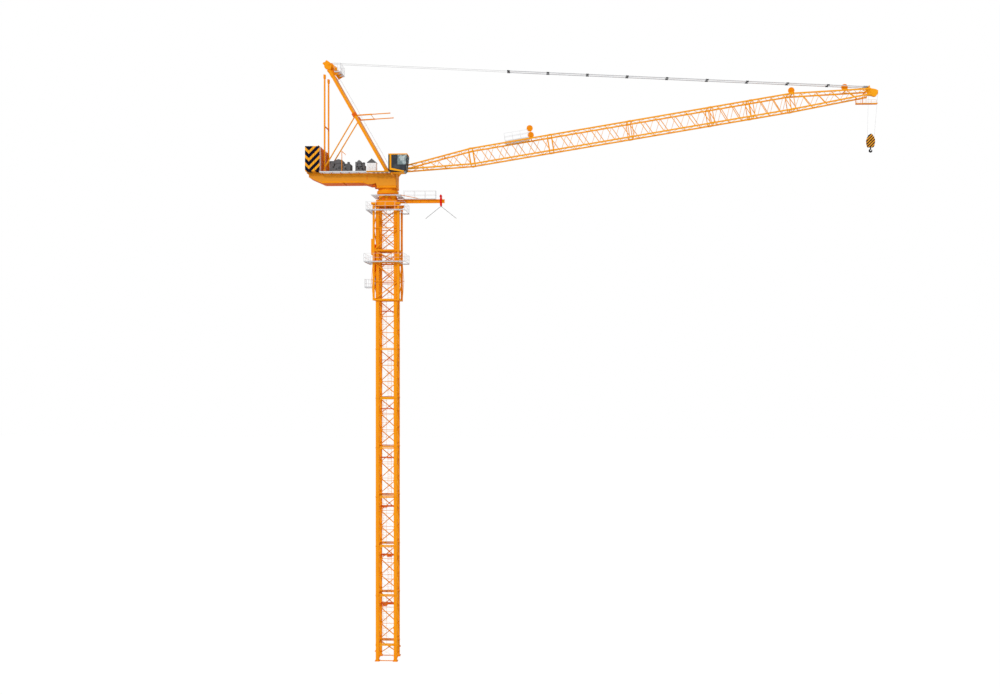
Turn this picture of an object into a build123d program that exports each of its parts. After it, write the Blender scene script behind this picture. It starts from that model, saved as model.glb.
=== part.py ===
from build123d import *
from math import asin, cos, hypot, radians, sin
import os

# Tower crane with a luffing jib, as a model at one tenth of the real size.
# Millimetres. The origin is the centre of the mast on the ground. +X points
# along the jib, +Y to the far side of the machine and +Z up.

# Mast
mast_spacing = 220
leg_size = 40
joint_bar = 26
brace_bar = 10
base_height = 200
section_height = 600
section_count = 8
top_section_height = 555
section_panels = 3
foot_plate = 58
foot_thickness = 8
foot_bolt_reach = 24.5
foot_bolt_radius = 1.6
foot_flare = 50
foot_flare_height = 24
ear_length = 12
ear_width = 14
ear_height = 18
ear_level = 120

# Climbing cage round the top of the mast
cage_spacing = 300
cage_chord = 24
cage_ring = 18
cage_ring_depth = 14
cage_brace = 10
cage_ear = 56
cage_height = 1165
cage_ring_drops = (695, 545)
power_pack_width = 34
power_pack_depth = 90
power_pack_height = 195
power_pack_drop = 610
power_pack_corner = 4
ram_radius = 9
ram_y = 60
ram_rod_radius = 5
ram_drop = 875
ram_length = 400
ram_rod_length = 110
ram_clevis = 24
ram_clevis_width = 16
cage_strut = 6
cage_strut_bow = 14
cage_strut_rise = 250
seat_gap = 0.3

# Platforms and railings
grating = 4
rail_bar = 3
rail_height = 100
knee_rail_share = 0.5
post_pitch = 240
upper_platform_drop = 74
upper_platform_reach = 236
upper_platform_y = 430
lower_platform_drop = 700
lower_platform_left = 262
lower_platform_right = 236
lower_platform_y = 440
side_platform_drop = 1010
side_platform_reach = 100
side_platform_width = 120

# Turntables and slewing ring
turntable_frame = 250
turntable_frame_height = 60
drum_radius = 112
drum_wall = 10
drum_height = 70
gusset_count = 8
gusset_thickness = 6
ring_platform_x = 360
ring_platform_y = 376
ring_platform_drop = 18
ring_radius = 132
ring_height = 24
ring_gap = 0.5
upper_ring_height = 22
neck_height = 30
pedestal_size = 236
pedestal_height = 26

# Machinery deck
deck_tail = -951
deck_nose = 133
deck_width = 260
deck_plate = 8
deck_height = 156
deck_tail_rise = 111
deck_belly_tail = -744
deck_belly_nose = -245
haunch_start = -165
haunch_drop = 25
deck_flange_width = 26
deck_flange = 5
deck_ribs = 5
drive_x = -163
drive_y = 85
drive_radius = 20
drive_drop = 42

# Walkways beside the deck
walkway_tail = -840
walkway_nose = 55
walkway_width = 98
walkway_brackets = 7
walkway_bracket_height = 33

# Counterweights
slab_count = 6
slab_gap = 3
weight_back = -977
weight_front = -800
weight_width = 440
weight_height = 304
weight_cradle = 12

# A-frame
frame_foot_x = 16
frame_head_x = -702
frame_head_rise = 1259
frame_half_width = 130
frame_leg = 42
frame_leg_width = 28
frame_cross_count = 4
frame_cross = 20
tie_x = -760
tie_size = 18
tie_rise = 1207
tie_clevis = 50
tie_clevis_wall = 4
head_tip_x = -775
head_tip_rise = 1393
head_shaft_radius = 12
head_sheave_x = -700
head_sheave_rise = 1333
head_sheave_radius = 36
head_sheave_width = 14
head_sheave_count = 2
brace_top_rise = 687
brace_foot_x = -790
brace_size = 12
brace_inset = 25
back_stop_rise = 702
back_stop_tip_x = 50
back_stop_lift = 25
back_stop_size = 14
back_stop_ram = 10
back_stop_joint_share = 0.42
head_platform_rise = 1177
head_platform_tip_x = -548

# Winches, cabinet and davit on the deck
hoist_winch_x = -578
hoist_winch_length = 280
hoist_winch_height = 180
luff_winch_x = -334
luff_winch_length = 118
luff_winch_height = 168
winch_width = 190
winch_plate = 10
winch_skid = 14
winch_drum_radius = 50
winch_barrel_radius = 38
winch_drum_flange = 6
winch_top_share = 0.667
winch_case_height = 96
winch_case_width = 134
hoist_case_length = 62
hoist_case_x = 92
hoist_motor_radius = 22
luff_case_length = 26
luff_case_x = 40
luff_motor_radius = 13
motor_sink = 2
cabinet_x = -186
cabinet_length = 116
cabinet_width = 80
cabinet_wall_height = 135
cabinet_roof_height = 49
cabinet_y = -50
davit_x = -548
davit_y = -112
davit_height = 275
davit_arm = 45
davit_size = 9

# Operator's cab
cab_back = 58
cab_front = 286
cab_near = -340
cab_width = 160
cab_height = 222
cab_floor_drop = 28
cab_post = 14
cab_sill = 40
cab_nose = 22
cab_glass_thickness = 4
cab_bracket = 20
nose_pane_share = 0.2
front_pane_share = 0.06

# Jib, in its own frame: along the jib from the heel pin, and square to it
heel_x = 160
heel_rise = 57
jib_angle = 9.2
jib_width = 190
jib_depth = 188
jib_chord = 17
lacing_bar = 9
frame_bar = 10
heel_length = 886
heel_bays = 4
heel_end_depth = 26
heel_start = 12
long_section = 975
long_section_count = 3
long_bays = 5
short_section = 487.5
short_section_count = 2
short_bays = 3
tip_length = 934
tip_bays = 5
tip_top = -10
tip_bottom = -70
heel_ear = 16
heel_ear_radius = 16
pin_radius = 6
pin_clearance = 0.1
lug_thickness = 8
lug_gap = 2
lug_foot = 70

# Jib head, guide sheaves and what stands on the jib
cheek_thickness = 8
cheek_tip = 12
cheek_tip_half = 8
sheave_radius = 38
sheave_width = 10
sheave_groove = 4
sheave_pin = 4
sheave_side_gap = 1
post_cheek = 3
post_size = 12
post_sill = 5
tip_wheel_radius = 42
tip_wheel_s = 5789
tip_wheel_t = -45
twin_guide_s = 1640
low_guide_t = 151
high_guide_t = 234
mid_guide_s = 4820
mid_guide_t = 148
outer_guide_s = 5450
outer_guide_t = 78
jib_walkway_start = 1290
jib_walkway_end = 1590
jib_walkway_posts = 5
tip_platform_start = 5680
tip_platform_end = 5935
tip_platform_drop = 122
tip_platform_width = 173
tip_platform_slot = 60
tip_platform_slot_start = 5770
tip_rail_height = 45
hanger_inset = 51

# Pendants, floating block and ropes
pendant_half_gap = 60
pendant_size = 10
pendant_eye_s = 5723
pendant_eye_t = 27
pendant_length = 4328
pendant_link = 30
pendant_link_size = 15
pendant_pieces = 9
rope = 2.4

# Hook block and hook, hung from the tip wheel
hook_offset = 46
block_drop = 498
shell_height = 160
shell_width = 103
shell_shares = [(0.23, 0), (0.58, 0.06), (0.85, 0.2), (1, 0.39), (1, 0.59), (0.89, 0.76),
                (0.74, 0.9), (0.58, 1)]
shell_thickness = 6
shell_gap = 26
block_axle_radius = 5
hook_shank = 6
hook_height = 60
hook_radius = 19
hook_throat = 11
hook_tip_rise = 5
hook_belly = 1.5
hook_nut_height = 6
hook_nut_radius = 12
crosshead_height = 12
crosshead_width = 60
hook_thickness = 10
hook_running_gap = 0.5

# Feed beam and its trolley
feed_beam_end = 700
feed_beam_height = 44
feed_beam_width = 30
feed_beam_wall = 6
feed_beam_rise = 78
feed_platform_start = 195
feed_platform_end = 592
feed_platform_width = 80
feed_stay = 5
feed_stay_end = 440
trolley_x = 655
trolley_length = 22
trolley_plate = 8
trolley_gap = 5
trolley_rise = 52
trolley_drop = 36
trolley_roller_radius = 5.5
arm_reach = 190
arm_drop = 152
arm_size = 4

# Sides of bars and of flat-sided stand-ins for round forms, and the width of three-sided bars
bar_sides = 4
ring_sides = 48
wheel_sides = 24
pin_sides = 16
post_sides = 8
lacing_sides = 3
triangle_share = 2 / 3

# Levels and lines that follow from the sizes above
half_mast = mast_spacing / 2
half_cage = cage_spacing / 2
mast_top = base_height + section_count * section_height + top_section_height
cage_top = mast_top - seat_gap
cage_bottom = cage_top - cage_height
cage_side = half_cage + cage_chord / 2
drum_level = mast_top + turntable_frame_height
ring_level = drum_level + drum_height
upper_level = ring_level + ring_height + ring_gap
neck_level = upper_level + upper_ring_height
pedestal_level = neck_level + neck_height
deck_bottom = pedestal_level + pedestal_height
deck_top = deck_bottom + deck_height
half_deck = deck_width / 2
heel_z = deck_top + heel_rise
half_jib = jib_width / 2
half_depth = jib_depth / 2
jib_straight_end = (heel_length + long_section * long_section_count
                    + short_section * short_section_count)
jib_end = jib_straight_end + tip_length
feed_beam_top = mast_top + feed_beam_rise

os.makedirs("parts", exist_ok=True)


def finish(piece, name):
    """Label a finished part and write it to its own file."""
    piece.part.label = name
    export_step(piece.part, "parts/" + name + ".step")


def bar(start, end, width, depth=None, across=(0, 1, 0), sides=bar_sides):
    """A straight bar between two points; its width lies along across."""
    first = Vector(*start)
    run = Vector(*end) - first
    heading = run.normalized()
    side = Vector(*across)
    side = side - heading * side.dot(heading)
    with BuildPart() as piece:
        with BuildSketch(Plane(origin=first, x_dir=side, z_dir=run)):
            if sides == lacing_sides:
                RegularPolygon(width * triangle_share, sides)
            else:
                Rectangle(width, depth if depth else width)
        extrude(amount=run.length)
    return piece.part


def rod(start, end, radius, sides=None):
    """A round bar between two points, or a flat-sided one for a plain round form."""
    first = Vector(*start)
    run = Vector(*end) - first
    with BuildPart() as piece:
        with BuildSketch(Plane(origin=first, z_dir=run)):
            if sides:
                RegularPolygon(radius, sides)
            else:
                Circle(radius)
        extrude(amount=run.length)
    return piece.part


def grooved_wheel(centre, width, radius, groove, bore):
    """A rope sheave across the machine, with a V groove and a round bore."""
    x, y, z = centre
    with BuildPart() as piece:
        for way in (-1, 1):
            with BuildSketch(Plane((x, y, z), x_dir=(1, 0, 0), z_dir=(0, 1, 0))):
                RegularPolygon(radius - groove, wheel_sides)
            with BuildSketch(Plane((x, y + way * width / 2, z), x_dir=(1, 0, 0), z_dir=(0, 1, 0))):
                RegularPolygon(radius, wheel_sides)
            loft()
        add(rod((x, y - width, z), (x, y + width, z), bore), mode=Mode.SUBTRACT)
    return piece.part


def plate(outline, y_low, y_high):
    """A plate parallel to the XZ plane with the given outline."""
    with BuildPart() as piece:
        with BuildSketch(Plane((0, y_low, 0), x_dir=(1, 0, 0), z_dir=(0, -1, 0))):
            Polygon(*outline, align=None)
        extrude(amount=y_low - y_high)
    return piece.part


def slanted(foot, head, size, y_low, y_high):
    """A sloping member with level ends, between two XZ points."""
    slope = hypot(head[0] - foot[0], head[1] - foot[1]) / (head[1] - foot[1])
    half = size / 2 * slope
    return plate([(foot[0] - half, foot[1]), (foot[0] + half, foot[1]),
                  (head[0] + half, head[1]), (head[0] - half, head[1])], y_low, y_high)


def between(start, end, share):
    """The point at a share of the way from start to end."""
    return tuple(a + (b - a) * share for a, b in zip(start, end))


def zigzag(first_line, second_line, bays, size, across):
    """Lacing that runs to and fro between two chords, each given by its ends."""
    stops = 2 * bays
    lines = (first_line, second_line)
    return [bar(between(*lines[stop % 2], stop / stops),
                between(*lines[(stop + 1) % 2], (stop + 1) / stops), size, size, across,
                lacing_sides)
            for stop in range(stops)]


# The four corners of a square, in order round the mast
corners = [(-1, -1), (1, -1), (1, 1), (-1, 1)]


def ring_of_bars(half, level, size, depth=brace_bar):
    """Four level bars that join the corner posts; level is the bars' middle."""
    bars = []
    for side in range(len(corners)):
        a, b = corners[side], corners[(side + 1) % len(corners)]
        bars.append(bar((a[0] * half, a[1] * half, level), (b[0] * half, b[1] * half, level),
                        size, depth, (0, 0, 1)))
    return bars


def diagonal(half, side, low, high, size, leaning):
    """One diagonal in a panel of a square tower, leaning one way or the other."""
    a, b = corners[side], corners[(side + 1) % len(corners)]
    if leaning:
        a, b = b, a
    face = ((a[0] + b[0]) / 2, (a[1] + b[1]) / 2, 0)
    return bar((a[0] * half, a[1] * half, low), (b[0] * half, b[1] * half, high),
               size, size, face, lacing_sides)


def mast_length(height, panels):
    """One mast section that stands on Z zero."""
    bars = [bar((x * half_mast, y * half_mast, 0), (x * half_mast, y * half_mast, height), leg_size)
            for x, y in corners]
    bars += ring_of_bars(half_mast, height - joint_bar / 2, joint_bar)
    step = (height - joint_bar / 2) / panels
    for panel in range(panels):
        if panel:
            bars += ring_of_bars(half_mast, panel * step, brace_bar)
        for side in range(len(corners)):
            bars.append(diagonal(half_mast, side, panel * step + brace_bar,
                                 (panel + 1) * step - brace_bar, brace_bar, (panel + side) % 2))
    with BuildPart() as piece:
        add(bars)
    return piece.part


def railing(points, level, height=rail_height):
    """Posts and two rails along a line of XY points, standing on a platform."""
    bars = []
    for start, end in zip(points, points[1:]):
        posts = max(1, round(hypot(end[0] - start[0], end[1] - start[1]) / post_pitch))
        for number in range(posts):
            x, y = between(start, end, number / posts)
            bars.append(bar((x, y, level), (x, y, level + height), rail_bar))
        for share in (knee_rail_share, 1):
            middle = level + height * share - rail_bar / 2
            bars.append(bar((*start, middle), (*end, middle), rail_bar, rail_bar, (0, 0, 1)))
    if points[0] != points[-1]:
        bars.append(bar((*points[-1], level), (*points[-1], level + height), rail_bar))
    return bars


# Base frame: one foot plate under each leg, joined by ties on the ground
feet = [(x * half_mast, y * half_mast) for x, y in corners]
with BuildPart() as base_frame:
    with BuildSketch():
        Rectangle(mast_spacing + brace_bar, mast_spacing + brace_bar)
        Rectangle(mast_spacing - brace_bar, mast_spacing - brace_bar, mode=Mode.SUBTRACT)
        with Locations(*feet):
            Rectangle(foot_plate, foot_plate)
        bolt_spacing = mast_spacing + 2 * foot_bolt_reach
        with GridLocations(bolt_spacing, bolt_spacing, 2, 2):
            Circle(foot_bolt_radius, mode=Mode.SUBTRACT)
    extrude(amount=foot_thickness)
finish(base_frame, "base_frame")

# Mast base section: short legs with flared feet and ears
base_bars = [bar((x, y, foot_thickness), (x, y, base_height), leg_size) for x, y in feet]
base_bars += [bar((x * half_mast, y * half_mast, ear_level),
                  (x * (half_mast + leg_size / 2 + ear_length), y * half_mast, ear_level),
                  ear_width, ear_height) for x, y in corners]
base_bars += ring_of_bars(half_mast, base_height - joint_bar / 2, joint_bar)
for side in range(len(corners)):
    base_bars.append(diagonal(half_mast, side, foot_flare_height + brace_bar,
                              base_height - joint_bar, brace_bar, side % 2))
with BuildPart() as mast_base_section:
    add(base_bars)
    for x, y in feet:
        with BuildSketch(Plane((x, y, foot_thickness))):
            Rectangle(leg_size, foot_flare)
        with BuildSketch(Plane((x, y, foot_thickness + foot_flare_height))):
            Rectangle(leg_size, leg_size)
        loft()
finish(mast_base_section, "mast_base_section")

# Eight like mast sections, and a shorter one on top
like_section = mast_length(section_height, section_panels)
for number in range(section_count):
    with BuildPart() as mast_section:
        with Locations((0, 0, base_height + number * section_height)):
            add(like_section)
    finish(mast_section, "mast_section_" + str(number + 1))

with BuildPart() as mast_top_section:
    with Locations((0, 0, mast_top - top_section_height)):
        add(mast_length(top_section_height, section_panels))
finish(mast_top_section, "mast_top_section")

# Climbing cage: four chords, rings and bracing, open towards the feed beam above
cage_bars = [bar((x * half_cage, y * half_cage, cage_bottom), (x * half_cage, y * half_cage, cage_top),
                 cage_chord) for x, y in corners]
for drop in (0, cage_ring_drops[0], cage_ring_drops[1], cage_height - cage_ring):
    cage_bars += ring_of_bars(half_cage, cage_top - drop - cage_ring / 2, cage_ring, cage_ring_depth)
all_sides = range(len(corners))
beam_side = 1
bays = [(cage_bottom + cage_ring, cage_top - cage_ring_drops[0] - cage_ring, all_sides),
        (cage_top - cage_ring_drops[1], cage_top - cage_ring,
         [side for side in all_sides if side != beam_side])]
for low, high, sides in bays:
    middle = (low + high) / 2
    for side in sides:
        cage_bars.append(diagonal(half_cage, side, low, middle, cage_brace, side % 2))
        cage_bars.append(diagonal(half_cage, side, middle, high, cage_brace, (side + 1) % 2))

# Bowed struts on both sides of the lower half of the cage
for way in (-1, 1):
    for y in (-cage_side + cage_strut / 2, cage_side - cage_strut / 2):
        apex = (way * (cage_side + cage_strut_bow), y, cage_bottom + cage_strut_rise)
        for level in (cage_bottom + cage_ring / 2, cage_top - cage_ring_drops[0] - cage_ring):
            cage_bars.append(bar((way * (cage_side - cage_strut / 2), y, level), apex, cage_strut))
        cage_bars.append(bar((way * half_cage, y, apex[2]), apex, cage_strut))
with BuildPart() as climbing_cage:
    add(cage_bars)
finish(climbing_cage, "climbing_cage")

# Climbing hydraulics on the side away from the feed beam: pump housing and ram
pack_level = cage_top - power_pack_drop
ram_level = cage_top - ram_drop
ram_x = -half_cage - cage_ring_depth / 2 - ram_radius - seat_gap
with BuildPart() as climbing_hydraulics:
    with Locations((-cage_side - seat_gap - power_pack_width / 2, -half_cage + power_pack_depth / 2,
                    pack_level + power_pack_height / 2)):
        Box(power_pack_width, power_pack_depth, power_pack_height)
    chamfer(climbing_hydraulics.edges().filter_by(Axis.Z).group_by(Axis.X)[0], power_pack_corner)
    add(rod((ram_x, ram_y, ram_level), (ram_x, ram_y, ram_level + ram_length), ram_radius, pin_sides))
    add(rod((ram_x, ram_y, ram_level - ram_rod_length), (ram_x, ram_y, ram_level), ram_rod_radius,
            pin_sides))
    with Locations((ram_x, ram_y, ram_level + ram_length), (ram_x, ram_y, ram_level - ram_rod_length)):
        Box(ram_clevis_width, ram_clevis, ram_clevis)
finish(climbing_hydraulics, "climbing_hydraulics")


def cage_platform(left, right, width, drop, name):
    """A grating round the climbing cage and the ram, with a railing on its edge."""
    level = cage_top - drop
    hole = 2 * (cage_side + seat_gap)
    notch = ram_clevis + 2 * seat_gap
    with BuildPart() as piece:
        with BuildSketch(Plane.XY.offset(level)):
            with Locations(((right - left) / 2, 0)):
                Rectangle(left + right, width)
            Rectangle(hole, hole, mode=Mode.SUBTRACT)
            with Locations((ram_x, ram_y)):
                Rectangle(notch, notch, mode=Mode.SUBTRACT)
        extrude(amount=grating)
        x_low, x_high = -left + rail_bar / 2, right - rail_bar / 2
        y_high = width / 2 - rail_bar / 2
        add(railing([(x_low, -y_high), (x_high, -y_high), (x_high, y_high), (x_low, y_high),
                     (x_low, -y_high)], level + grating))
    finish(piece, name)


cage_platform(upper_platform_reach, upper_platform_reach, upper_platform_y, upper_platform_drop,
              "upper_platform")
cage_platform(lower_platform_left, lower_platform_right, lower_platform_y, lower_platform_drop,
              "lower_platform")

# Small platform beside the foot of the climbing ram
side_level = cage_top - side_platform_drop
side_y = -half_cage + side_platform_width / 2
with BuildPart() as side_platform:
    with BuildSketch(Plane((-cage_side - seat_gap - side_platform_reach / 2, side_y, side_level))):
        Rectangle(side_platform_reach, side_platform_width)
    extrude(amount=grating)
    near_x = -cage_side - seat_gap - rail_bar
    far_x = near_x - side_platform_reach + 2 * rail_bar
    half = side_platform_width / 2 - rail_bar / 2
    add(railing([(near_x, side_y - half), (far_x, side_y - half), (far_x, side_y + half),
                 (near_x, side_y + half)], side_level + grating))
finish(side_platform, "side_platform")

# Lower turntable: square frame, drum and gussets
with BuildPart() as lower_turntable:
    with BuildSketch(Plane.XY.offset(mast_top)):
        Rectangle(turntable_frame, turntable_frame)
        RegularPolygon(drum_radius - drum_wall, ring_sides, mode=Mode.SUBTRACT)
    extrude(amount=turntable_frame_height)
    with Locations(*[(x * half_cage, y * half_cage, mast_top + cage_chord / 2) for x, y in corners]):
        Box(cage_ear, cage_ear, cage_chord)
    with BuildSketch(Plane.XY.offset(drum_level)):
        RegularPolygon(drum_radius, ring_sides)
        RegularPolygon(drum_radius - drum_wall, ring_sides, mode=Mode.SUBTRACT)
    extrude(amount=drum_height)
    gusset_top = drum_height - ring_platform_drop
    with BuildSketch(Plane.XZ) as gusset:
        Polygon((drum_radius - drum_wall / 2, drum_level), (turntable_frame / 2, drum_level),
                (drum_radius - drum_wall / 2, drum_level + gusset_top), align=None)
    with PolarLocations(0, gusset_count):
        extrude(gusset.sketch, amount=gusset_thickness / 2, both=True)
finish(lower_turntable, "lower_turntable")

# Ring platform round the drum
with BuildPart() as ring_platform:
    with BuildSketch(Plane.XY.offset(ring_level - ring_platform_drop)):
        Rectangle(ring_platform_x, ring_platform_y)
        RegularPolygon(drum_radius + seat_gap, ring_sides, mode=Mode.SUBTRACT)
    extrude(amount=grating)
finish(ring_platform, "ring_platform")

# Slewing ring: the fixed half
with BuildPart() as slewing_ring:
    with BuildSketch(Plane.XY.offset(ring_level)):
        RegularPolygon(ring_radius, ring_sides)
        RegularPolygon(drum_radius - drum_wall, ring_sides, mode=Mode.SUBTRACT)
    extrude(amount=ring_height)
finish(slewing_ring, "slewing_ring")

# Upper turntable: turning half of the ring, neck and square pedestal
with BuildPart() as upper_turntable:
    with BuildSketch(Plane.XY.offset(upper_level)):
        RegularPolygon(ring_radius, ring_sides)
    extrude(amount=upper_ring_height)
    with BuildSketch(Plane.XY.offset(neck_level)):
        Circle(drum_radius)
    extrude(amount=neck_height)
    with BuildSketch(Plane.XY.offset(pedestal_level)):
        Rectangle(pedestal_size, deck_width)
    extrude(amount=pedestal_height)
finish(upper_turntable, "upper_turntable")

# Machinery deck: an open-bottomed girder with a tapered tail, a haunch, cross
# plates, bottom flanges, the lugs of the jib heel and the bracket of the cab
belly = [(deck_tail, deck_bottom + deck_tail_rise), (deck_belly_tail, deck_bottom),
         (deck_belly_nose, deck_bottom), (haunch_start, deck_bottom - haunch_drop)]
deck_outline = [(deck_tail, deck_top), *belly, (-pedestal_size / 2, deck_bottom),
                (deck_nose, deck_bottom), (deck_nose, deck_top)]
lug_outline = [(deck_nose - lug_foot, deck_top), (deck_nose, deck_top - heel_ear_radius),
               (heel_x + heel_ear_radius, heel_z - pin_radius),
               (heel_x + heel_ear_radius, heel_z + pin_radius),
               (heel_x + pin_radius, heel_z + heel_ear_radius),
               (heel_x - pin_radius, heel_z + heel_ear_radius)]
with BuildPart() as machinery_deck:
    add(plate(deck_outline, -half_deck, half_deck))
    with BuildSketch(Plane.XY.offset(deck_top - deck_plate)):
        room = deck_nose - deck_tail - 2 * deck_plate
        with Locations(((deck_tail + deck_nose) / 2, 0)):
            Rectangle(room, deck_width - 2 * deck_plate)
        for number in range(1, deck_ribs + 1):
            with Locations((deck_tail + deck_plate + number * room / (deck_ribs + 1), 0)):
                Rectangle(deck_plate, deck_width, mode=Mode.SUBTRACT)
    extrude(amount=-deck_height - haunch_drop, mode=Mode.SUBTRACT)
    for y in (-half_deck + deck_flange_width / 2, half_deck - deck_flange_width / 2):
        for start, end in zip(belly, belly[1:]):
            add(bar((start[0], y, start[1] + deck_flange / 2), (end[0], y, end[1] + deck_flange / 2),
                    deck_flange_width, deck_flange))
    with BuildSketch(Plane.XY.offset(deck_top)):
        with Locations(((weight_back + weight_front) / 2, 0)):
            Rectangle(weight_front - weight_back, deck_width)
    extrude(amount=weight_cradle)
    for y in (-half_jib, half_jib):
        for side in (-1, 1):
            middle = y + side * (heel_ear / 2 + lug_gap + lug_thickness / 2)
            add(plate(lug_outline, middle - lug_thickness / 2, middle + lug_thickness / 2))
    for y in (-half_jib, half_jib):
        reach = heel_ear + lug_thickness + lug_gap
        add(rod((heel_x, y - reach, heel_z), (heel_x, y + reach, heel_z), pin_radius + pin_clearance),
            mode=Mode.SUBTRACT)
    for y in (-drive_y, drive_y):
        add(rod((drive_x, y, deck_bottom - drive_drop), (drive_x, y, deck_top - deck_plate), drive_radius,
                pin_sides))
    cab_support_x = (cab_back + deck_nose) / 2
    support_z = deck_top - cab_floor_drop - cab_bracket / 2
    add(bar((cab_support_x, cab_near + cab_bracket, support_z), (cab_support_x, -half_deck, support_z),
            cab_bracket, cab_bracket * 2, (0, 0, 1)))
finish(machinery_deck, "machinery_deck")

# Pins of the jib heel
with BuildPart() as heel_pins:
    for y in (-half_jib, half_jib):
        reach = heel_ear / 2 + lug_thickness + lug_gap
        add(rod((heel_x, y - reach, heel_z), (heel_x, y + reach, heel_z), pin_radius, pin_sides))
finish(heel_pins, "heel_pins")

# Walkways on both sides of the deck, on triangular brackets
with BuildPart() as deck_walkways:
    for way in (-1, 1):
        inner = way * half_deck
        outer = way * (half_deck + walkway_width)
        with BuildSketch(Plane.XY.offset(deck_top - grating)):
            with Locations(((walkway_tail + walkway_nose) / 2, (inner + outer) / 2)):
                Rectangle(walkway_nose - walkway_tail, walkway_width)
        extrude(amount=grating)
        step = (walkway_nose - walkway_tail) / walkway_brackets
        for number in range(walkway_brackets):
            x = walkway_tail + (2 * number + 1) * step / 2
            with BuildSketch(Plane((x, 0, 0), x_dir=(0, 1, 0), z_dir=(1, 0, 0))):
                Polygon((inner, deck_top - grating), (outer, deck_top - grating),
                        (inner, deck_top - grating - walkway_bracket_height), align=None)
            extrude(amount=grating)
finish(deck_walkways, "deck_walkways")

# Counterweight slabs, set on edge across the tail
pitch = (weight_front - weight_back + slab_gap) / slab_count
with BuildPart() as counterweights:
    with BuildSketch(Plane.XY.offset(deck_top + weight_cradle)):
        for number in range(slab_count):
            with Locations((weight_back + (2 * number + 1) * pitch / 2 - slab_gap / 2, 0)):
                Rectangle(pitch - slab_gap, weight_width)
    extrude(amount=weight_height)
finish(counterweights, "counterweights")

# A-frame legs with cross members, welded into one frame
leg_foot = (frame_foot_x, deck_top)
leg_head = (frame_head_x, deck_top + frame_head_rise)
leg_slope = (leg_head[0] - leg_foot[0]) / frame_head_rise
leg_reach = frame_leg / 2 * hypot(leg_slope, 1)


def leg_face(rise):
    """Where the front face of the A-frame legs lies, this far above the deck."""
    return frame_foot_x + leg_slope * rise + leg_reach


with BuildPart() as a_frame_legs:
    for y in (-frame_half_width, frame_half_width):
        add(slanted(leg_foot, leg_head, frame_leg, y - frame_leg_width / 2, y + frame_leg_width / 2))
    for number in range(frame_cross_count):
        x, z = between(leg_foot, leg_head, (number + 1) / (frame_cross_count + 1))
        add(bar((x, -frame_half_width, z), (x, frame_half_width, z), frame_cross, frame_cross, (0, 0, 1)))
        way = 1 if number % 2 else -1
        next_x, next_z = between(leg_foot, leg_head, (number + 2) / (frame_cross_count + 1))
        if number + 1 < frame_cross_count:
            add(bar((x, -way * frame_half_width, z), (next_x, way * frame_half_width, next_z), lacing_bar,
                    lacing_bar, (0, 1, 0), lacing_sides))
finish(a_frame_legs, "a_frame_legs")

# Rear ties from the tail of the deck to the head of the A-frame
tie_top = deck_top + tie_rise
with BuildPart() as rear_ties:
    for y in (-frame_half_width + tie_size, frame_half_width - tie_size):
        add(bar((tie_x, y, deck_top), (tie_x, y, tie_top), tie_size))
        for low in (deck_top, tie_top - tie_clevis):
            add(bar((tie_x, y, low), (tie_x, y, low + tie_clevis), tie_size + 2 * tie_clevis_wall))
finish(rear_ties, "rear_ties")

# Head of the A-frame: two shaped plates on the ends of the legs, and a shaft
head_z = deck_top + head_sheave_rise
head_outline = [(tie_x - tie_size, tie_top), (tie_x + tie_size, tie_top),
                (frame_head_x - leg_reach, leg_head[1]), (frame_head_x + leg_reach, leg_head[1]),
                (head_sheave_x + head_sheave_radius / 2, head_z),
                (head_tip_x + frame_leg, deck_top + head_tip_rise), (head_tip_x, deck_top + head_tip_rise),
                (tie_x - tie_size * 2, deck_top + head_sheave_rise)]
with BuildPart() as a_frame_head:
    for y in (-frame_half_width, frame_half_width):
        add(plate(head_outline, y - frame_leg_width, y + frame_leg_width / 2)
            if y > 0 else plate(head_outline, y - frame_leg_width / 2, y + frame_leg_width))
    add(rod((head_sheave_x, -frame_half_width, head_z), (head_sheave_x, frame_half_width, head_z),
            head_shaft_radius, wheel_sides))
finish(a_frame_head, "a_frame_head")

# Rope sheaves on the shaft of the A-frame head
with BuildPart() as a_frame_sheaves:
    for number in range(head_sheave_count):
        y = (number - (head_sheave_count - 1) / 2) * pendant_half_gap
        add(grooved_wheel((head_sheave_x, y, head_z), head_sheave_width, head_sheave_radius, sheave_groove,
                          head_shaft_radius + pin_clearance))
finish(a_frame_sheaves, "a_frame_sheaves")

# Braces from the front legs down to the deck, inside the legs
with BuildPart() as a_frame_braces:
    brace_top = (leg_face(brace_top_rise) - 2 * leg_reach - seat_gap - brace_size / 2,
                 deck_top + brace_top_rise)
    for way in (-1, 1):
        y = way * (frame_half_width - brace_inset)
        add(slanted((brace_foot_x + tie_clevis * 2, deck_top), brace_top, brace_size,
                    y - brace_size / 2, y + brace_size / 2))
        add(bar((brace_top[0], y, brace_top[1] - brace_size),
                (brace_top[0], way * (frame_half_width - frame_leg_width / 2), brace_top[1] - brace_size),
                brace_size, brace_size, (0, 0, 1)))
finish(a_frame_braces, "a_frame_braces")

# Back-stop arms that keep the jib from falling back
back_stop_z = deck_top + back_stop_rise
with BuildPart() as back_stops:
    for y in (-frame_half_width, frame_half_width):
        half, slim = back_stop_size / 2, back_stop_ram / 2
        root = (leg_face(back_stop_rise), back_stop_z)
        tip = (back_stop_tip_x, back_stop_z + back_stop_lift)
        joint = between(root, tip, back_stop_joint_share)
        add(plate([(leg_face(back_stop_rise - half) + seat_gap, back_stop_z - half),
                   (joint[0], joint[1] - half), (joint[0], joint[1] + half),
                   (leg_face(back_stop_rise + half) + seat_gap, back_stop_z + half)],
                  y - half, y + half))
        add(plate([(joint[0], joint[1] - slim), (tip[0], tip[1] - slim), (tip[0], tip[1] + slim),
                   (joint[0], joint[1] + slim)], y - slim, y + slim))
finish(back_stops, "back_stops")

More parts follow.
